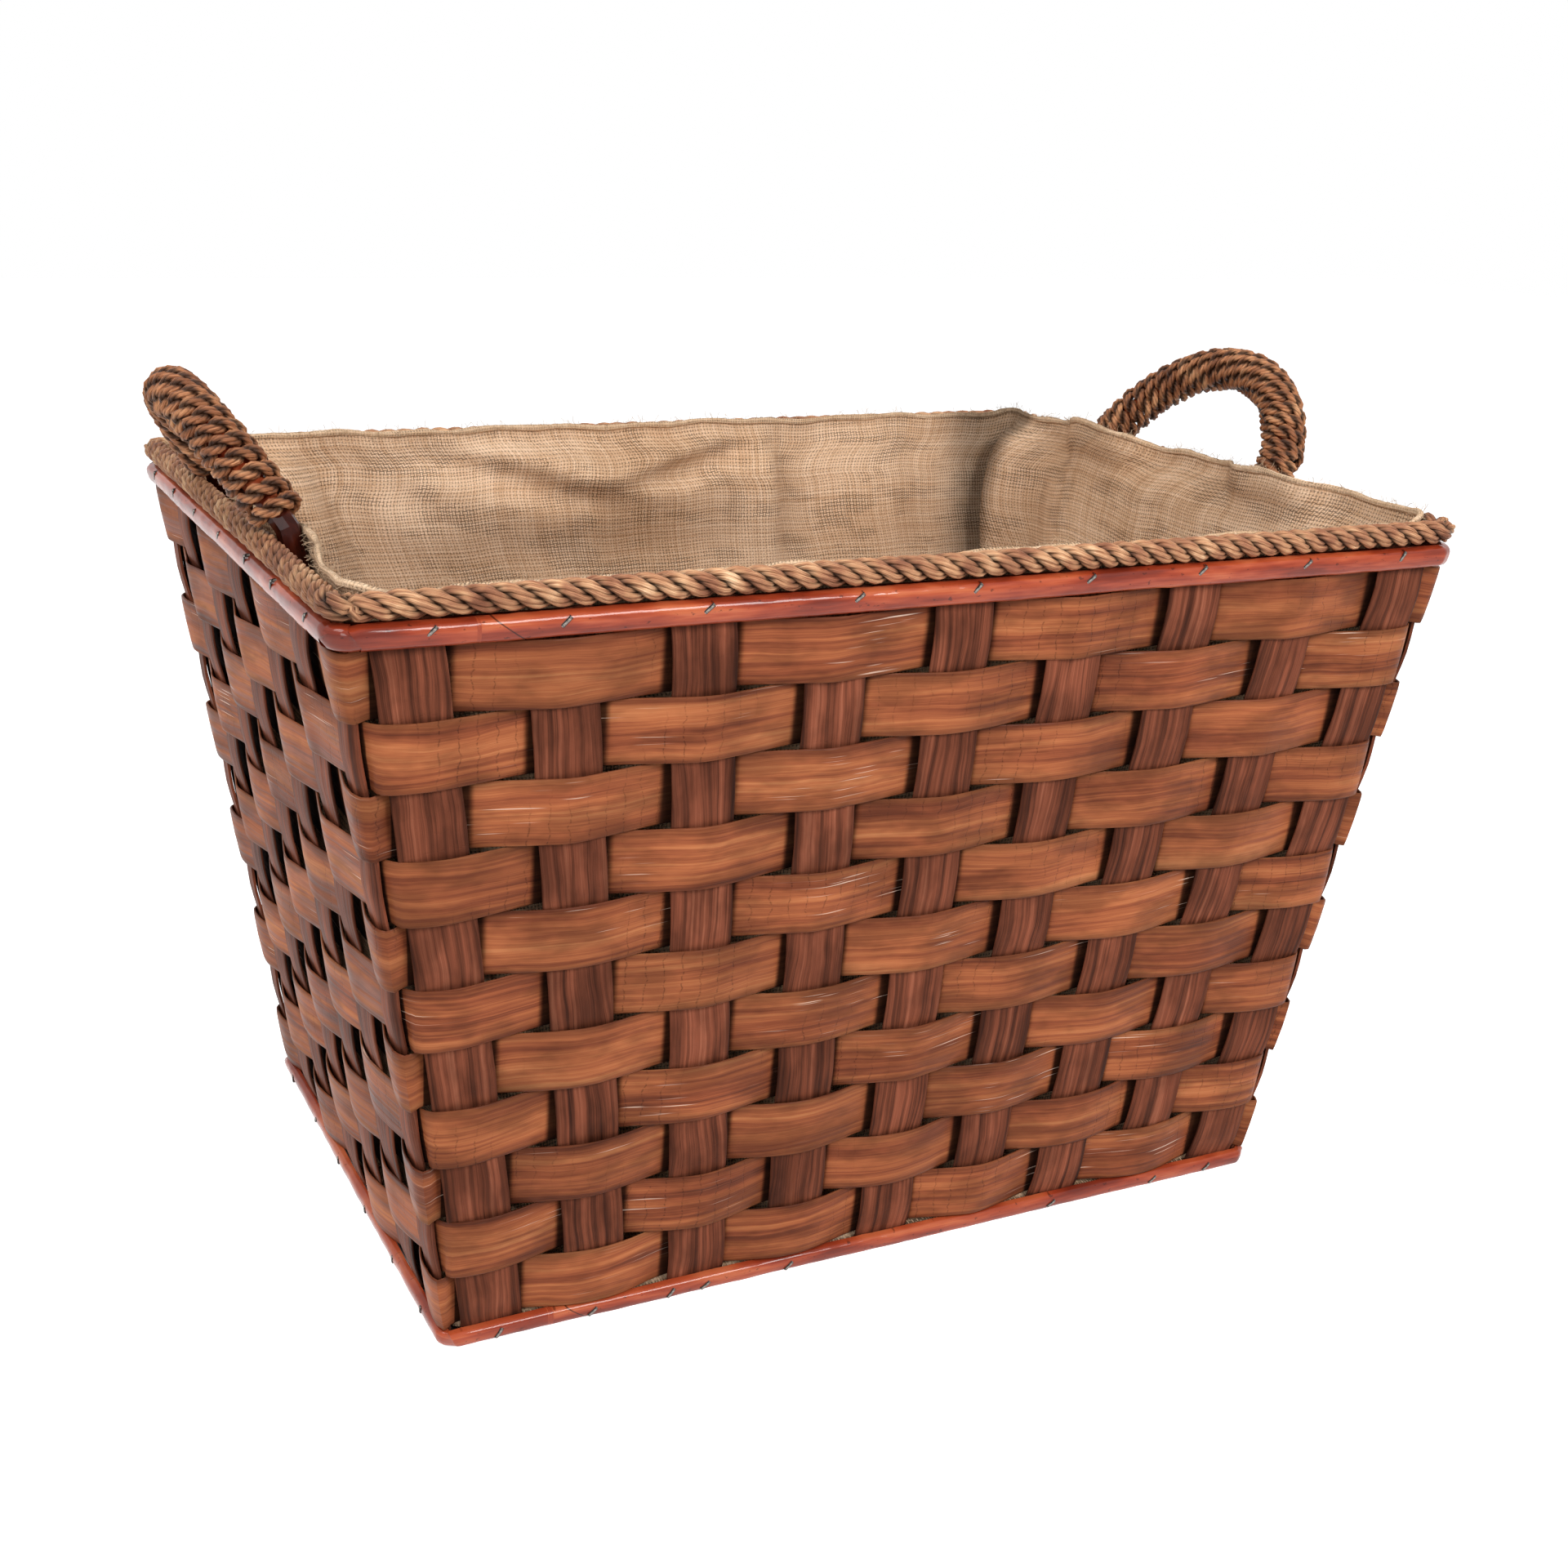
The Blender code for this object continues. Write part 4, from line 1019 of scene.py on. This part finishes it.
def liner_inset(wall, place, z):
    """How far the cloth hangs inside the middle of the wall."""
    pressed = ease((z - PRESS_START) / PRESS_LENGTH)
    inset = WALL_INSET + (HEM_INSET - WALL_INSET) * pressed
    broad = math.cos(math.tau * place / BROAD_WAVE + 1.9 * wall)
    narrow = math.cos(math.tau * place / NARROW_WAVE + 0.7 * wall + 4.0 * z)
    wave = 1 / 2 + 0.31 * broad + 0.19 * narrow
    inset += WAVE_DEPTH * wave * (1 - pressed) * (1 - 0.60 * ease((z - 0.22) / 0.08))
    for where, middle, height, slant, half_width, half_height, depth in FOLDS:
        if where == wall:
            across = place - middle - slant * (z - height)
            inset += (depth * swell(across, half_width) * swell(z - height, half_height)
                      * (1 - 0.85 * ease((z - CALM_START) / CALM_LENGTH)))
    inset = max(inset, LEAST_INSET)
    if wall in (RIGHT, LEFT):
        bare = wall == LEFT and place > 0
        half_width = CORE_DIAMETER / 2 + 0.002 if bare else POUCH_HALF_WIDTH
        beside_leg = abs(abs(place) - POUCH_PLACE) - half_width
        wide = bare and place > POUCH_PLACE
        cover = 1 - ease(beside_leg / (BARE_COVER_WIDTH if wide else COVER_WIDTH))
        spanned = 1 - ease((abs(place) - POUCH_PLACE - half_width) / SPAN_WIDTH)
        cover = max(cover, spanned * (1 - ease((z - 0.336) / 0.022)))
        cover *= ease((z - COVER_FOOT) / COVER_LENGTH)
        leg_room = POUCH_INSET + (0.0 if bare else TAIL_ROOM) * ease((z - 0.345) / 0.016)
        inset += max(leg_room - inset, 0.0) * cover
    foot = 1 - ease((z - LINER_FOOT) / 0.006)
    return inset + (FOOT_INSET - inset) * foot


def liner_ring(share):
    """Points round the bag, at a share of its depth below the hem."""
    def at(wall, place):
        z = LINER_FOOT + (hem_height(wall, place) - LINER_FOOT) * (1 - share)
        return z, liner_inset(wall, place, z)

    def flat_half(wall, z):
        return wall_reach(wall, z)[0] - corner_radius(z) - CORNER_CUT

    ring = []
    level = LINER_FOOT + (ROPE_HEIGHT - LINER_FOOT) * (1 - share)
    for wall in range(4):
        flat = flat_half(wall, level)
        for i in range(WALL_STEPS[wall] + 1):
            place = flat * (2 * i / WALL_STEPS[wall] - 1)
            z, inset = at(wall, place)
            ring.append(wall_point(wall, place, -inset, z))
        start, after_wall = ring[-1], (wall + 1) % 4
        place = -flat_half(after_wall, level)
        z, inset = at(after_wall, place)
        after = wall_point(after_wall, place, -inset, z)
        knee = corner_point(wall, math.pi / 4, -CORNER_INSET * ease(level / 0.02),
                            (start.z + z) / 2)
        bend = 2 * knee - (start + after) / 2
        for i in range(1, CORNER_POINTS):
            t = i / CORNER_POINTS
            ring.append(start * (1 - t) ** 2 + bend * 2 * t * (1 - t) + after * t * t)
    return ring


def burlap_finish(name, pitch, holes, colours):
    """Plain weave of uneven jute yarns, with painted shade in the gaps between them and low on each
    yarn, in the back right corner's tuck and low on the back wall.
    """
    material, tree, shader, cloth = new_finish(name, 0.92, Specular_IOR_Level=0.05)
    u, v, _ = parts_of(cloth)
    warp = u / pitch + noise_at(cloth, (60.0, 12.0, 1.0), 2.0, 0.5, 0.0) * 2.1
    weft = v / pitch + noise_at(cloth, (12.0, 60.0, 1.0), 2.0, 0.5, 4.2) * 2.1
    warp_ridge, weft_ridge = (abs(work_out("SINE", yarn * math.pi)) for yarn in (warp, weft))
    check = abs(work_out("MODULO", work_out("FLOOR", warp) + work_out("FLOOR", weft), 2.0))
    height = work_out("MAXIMUM", warp_ridge * (check * 0.44 + 0.56),
                      weft_ridge * ((1.0 - check) * 0.44 + 0.56))
    slack = between(noise_at(cloth, (26.0, 60.0, 1.0), 3.0, 0.65, 1.3), 0.42, 0.68)
    gap = between(slack * 0.38 + holes - height, -0.05, 0.05)
    hair = noise_at(cloth, (900.0, 900.0, 1.0), 2.0, 0.7)
    stripes = (noise_at(cloth, (1 / pitch, 6.0, 1.0), 1.0, 0.5, 0.5)
               + noise_at(cloth, (6.0, 1 / pitch, 1.0), 1.0, 0.5, 0.9))
    broad = noise_at(cloth, (9.0, 12.0, 1.0), 3.0, 0.6, 8.8)
    colour = ramp(hair * 0.30 + stripes * 0.20 + broad * 0.34, colours)
    x, y, z = parts_of(from_node(tree, "ShaderNodeTexCoord", output="Object"))
    # Painted shade: darker in the deep tuck of the back right corner, and low on the back wall.
    tuck = between(x, 0.196, 0.246) * between(y, 0.158, 0.174)
    low = between(y, 0.11, 0.14) * between(z, 0.285, 0.335, 0.18, 0.05)
    # Painted shade, together with the darker gaps between the yarns.
    dark = (1.0 - gap * 0.58) * between(tuck, 0.0, 1.0, 1.0, 0.42) * (1.0 - low)
    # Painted shade low on each yarn, where the weave dips.
    depth = between(height, 0.35, 0.90, 0.78, 1.03) * dark
    finish_face(shader, shaded(colour, depth), height + hair * 0.25, 0.42, 0.0006)
    return material


def make_liner():
    bm = bmesh.new()
    piece_map = bm.loops.layers.uv.new("UVMap")
    rows = []
    for level in range(LEVELS + 1):
        share = level / LEVELS
        ring = liner_ring(share)
        depth = (ROPE_HEIGHT - LINER_FOOT) * (1 - share)
        runs = [0.0]
        for a, b in zip(ring, ring[1:] + ring[:1]):
            runs.append(runs[-1] + (b - a).length)
        top_run = top_run if level else runs[-1]
        verts = [bm.verts.new(point) for point in ring]
        rows.append([(vert, (run * top_run / runs[-1], depth))
                     for vert, run in zip(verts + verts[:1], runs)])
    for low, high in zip(rows, rows[1:]):
        for i in range(len(low) - 1):
            mapped_face(bm, piece_map, (low[i], low[i + 1], high[i + 1], high[i]))
    last = [vert for vert, _ in rows[-1][:-1]]
    edge = [vert.co.copy() for vert in last]
    for step in range(1, FLOOR_RINGS + 1):
        share = 1 - step / FLOOR_RINGS
        if step < FLOOR_RINGS:
            inner = [bm.verts.new((p.x * share, p.y * share, LINER_FOOT)) for p in edge]
        else:
            inner = [bm.verts.new((0, 0, LINER_FOOT))] * len(last)
        for i, vert in enumerate(last):
            j = (i + 1) % len(last)
            corners = (vert, last[j], inner[j], inner[i])[:4 if step < FLOOR_RINGS else 3]
            mapped_face(bm, piece_map, [(corner, corner.co.xy) for corner in corners])
        last = inner
    return piece_of(bm, "burlap_liner", burlap)


def build_fuzz_tree():
    """Short curved fibres standing on a surface."""
    tree, given = new_tree("cloth_fuzz", [
        ("Density", "Float"), ("Length", "Float"), ("Radius", "Float"), ("Seed", "Int"),
        ("Material", "Material")])
    spots = add_node(tree, "GeometryNodeDistributePointsOnFaces", {
        "Mesh": given["Geometry"], "Density": given["Density"], "Seed": given["Seed"]}).outputs

    def along_hair(side, up):
        return from_node(tree, "ShaderNodeCombineXYZ", {
            0: given["Length"] * side, 2: given["Length"] * up})

    hair = from_node(tree, "GeometryNodeCurveQuadraticBezier", {
        "Resolution": 4, "Start": along_hair(0.0, -0.05), "Middle": along_hair(0.10, 0.55),
        "End": along_hair(0.62, 0.72)})
    section = from_node(tree, "GeometryNodeCurvePrimitiveCircle",
                        {"Resolution": 3, "Radius": given["Radius"]})

    def chance(low, high, seed):
        return from_node(tree, "FunctionNodeRandomValue", {2: low, 3: high, 8: seed}, 1,
                         data_type="FLOAT")

    turn = from_node(tree, "ShaderNodeCombineXYZ", {
        0: chance(-0.9, 0.9, 5), 1: chance(-0.9, 0.9, 6), 2: chance(0.0, math.tau, 7)})
    rotation = from_node(tree, "FunctionNodeRotateRotation", {
        0: Value(tree, spots["Rotation"]), 1: turn}, rotation_space="LOCAL")
    hairs = from_node(tree, "GeometryNodeInstanceOnPoints", {
        "Points": Value(tree, spots["Points"]), "Instance": swept(hair, section),
        "Rotation": rotation, "Scale": chance(0.45, 1.25, 8)})
    end_of_tree(hairs, 0.0, 0.0, given["Material"])
    return tree


burlap = burlap_finish("jute_burlap", WEAVE_PITCH, 0.34, [
    (0.34, linear("A67E5C")), (0.47, linear("CAA380")), (0.62, linear("E9C8A9"))])
hem_cloth = burlap_finish("jute_hem", 0.0016, 0.16, [
    (0.34, linear("B08D6C")), (0.47, linear("CDAB89")), (0.62, linear("E6C8A9"))])
liner = make_liner()
settle(liner, "burlap", "liner")
hem_points = liner_ring(0.0)
hem_faces = [Vector((-p.x, -p.y, 0.0)).normalized() for p in hem_points]
hem = made_along("liner_hem", strip_tree, [(hem_points, hem_faces, None, True)], {
    "Width": HEM_ROLL * 1.1, "Thickness": HEM_ROLL, "Squareness": 0.9, "Back": 1.0,
    "Step": 0.0025, "Corners": 14, "Unevenness": 0.0026}, hem_cloth)
settle(hem, "burlap")
fuzz = placed("liner_fuzz", hem.data.copy())
run_tree(fuzz, build_fuzz_tree(), {
    "Density": 150000.0, "Length": 0.0046, "Radius": 0.00010, "Seed": 3}, hem_cloth)
settle(fuzz, "burlap")

# Floor, light and camera
# The basket stands on a pale studio floor, under a large soft lamp at the left, a smaller one in
# front and one overhead, and is seen from its front left side, a little from above.

FLOOR_HALF, FLOOR_GLOW, WORLD_LIGHT = 6, 0.85, 0.26
WHITE = (1, 1, 1, 1)


def seen_directly(tree):
    """1 for the camera's rays and for those that are mirrored or let through, else 0."""
    rays = tree.nodes.new("ShaderNodeLightPath").outputs
    camera_ray, glossy, through = (Value(tree, rays[f"Is {kind} Ray"])
                                   for kind in ("Camera", "Glossy", "Transmission"))
    return work_out("MAXIMUM", work_out("MAXIMUM", camera_ray, glossy), through)


floor_finish, tree, shader, _ = new_finish("pale_floor", 0.9, Base_Color=(0.80, 0.80, 0.80, 1),
                                           Emission_Color=WHITE)
x, y, _ = parts_of(from_node(tree, "ShaderNodeTexCoord", output="Object"))
# The glow stops under the basket's footprint: a painted shadow beneath it.
beside = work_out("MAXIMUM", *(
    between(abs(run), half - 0.002, half + 0.005)
    for run, half in ((x, BASE_HALF_LENGTH), (y, BASE_HALF_DEPTH))))
link(seen_directly(tree) * FLOOR_GLOW * beside, shader.inputs["Emission Strength"])
floor_mesh = bpy.data.meshes.new("floor")
floor_mesh.from_pydata([(x * FLOOR_HALF, y * FLOOR_HALF, 0) for x, y in (
    (-1, -1), (1, -1), (1, 1), (-1, 1))], [], [(0, 1, 2, 3)])
floor_mesh.materials.append(floor_finish)
floor = placed("floor", floor_mesh)

world = bpy.data.worlds.new("studio")
bpy.context.scene.world = world
world.use_nodes = True
tree = world.node_tree
background = tree.nodes["Background"]
link(between(seen_directly(tree), 0.0, 1.0, WORLD_LIGHT, 1.0), background.inputs["Strength"])
background.inputs["Color"].default_value = WHITE


def softbox(name, place, target, size, power):
    data = bpy.data.lights.new(name, "AREA")
    data.shape = "RECTANGLE"
    data.size, data.size_y = size
    data.energy = power
    lamp = placed(name, data)
    lamp.location = place
    direction = Vector(target) - Vector(place)
    lamp.rotation_euler = direction.to_track_quat("-Z", "Y").to_euler()


softbox("key", (-3.3, -3.0, 1.8), (0, 0, 0.25), (1.9, 1.8), 65)
softbox("front", (0.45, -1.45, 1.25), (0, -0.1, 0.30), (0.60, 0.60), 20)
softbox("overhead", (-0.9, -0.3, 1.5), (0, 0, 0.25), (0.8, 0.8), 12)

CAMERA_PLACE = Vector((-0.4506, -0.91992, 0.53447))
AZIMUTH, ELEVATION, ROLL = (math.radians(angle) for angle in (-26.80493, 18.19155, 2.13658))
camera_data = bpy.data.cameras.new("camera")
camera_data.sensor_width = 36
camera_data.lens = 45.645
camera = placed("camera", camera_data)
back = Vector((math.sin(AZIMUTH) * math.cos(ELEVATION),
               -math.cos(AZIMUTH) * math.cos(ELEVATION), math.sin(ELEVATION)))
right = (-back).cross(UP).normalized()
up = right.cross(-back)
turned_right = right * math.cos(ROLL) + up * math.sin(ROLL)
turned_up = up * math.cos(ROLL) - right * math.sin(ROLL)
camera.matrix_world = Matrix((turned_right, turned_up, back)).transposed().to_4x4()
camera.location = CAMERA_PLACE
bpy.context.scene.camera = camera
bpy.context.scene.view_settings.view_transform = "Standard"
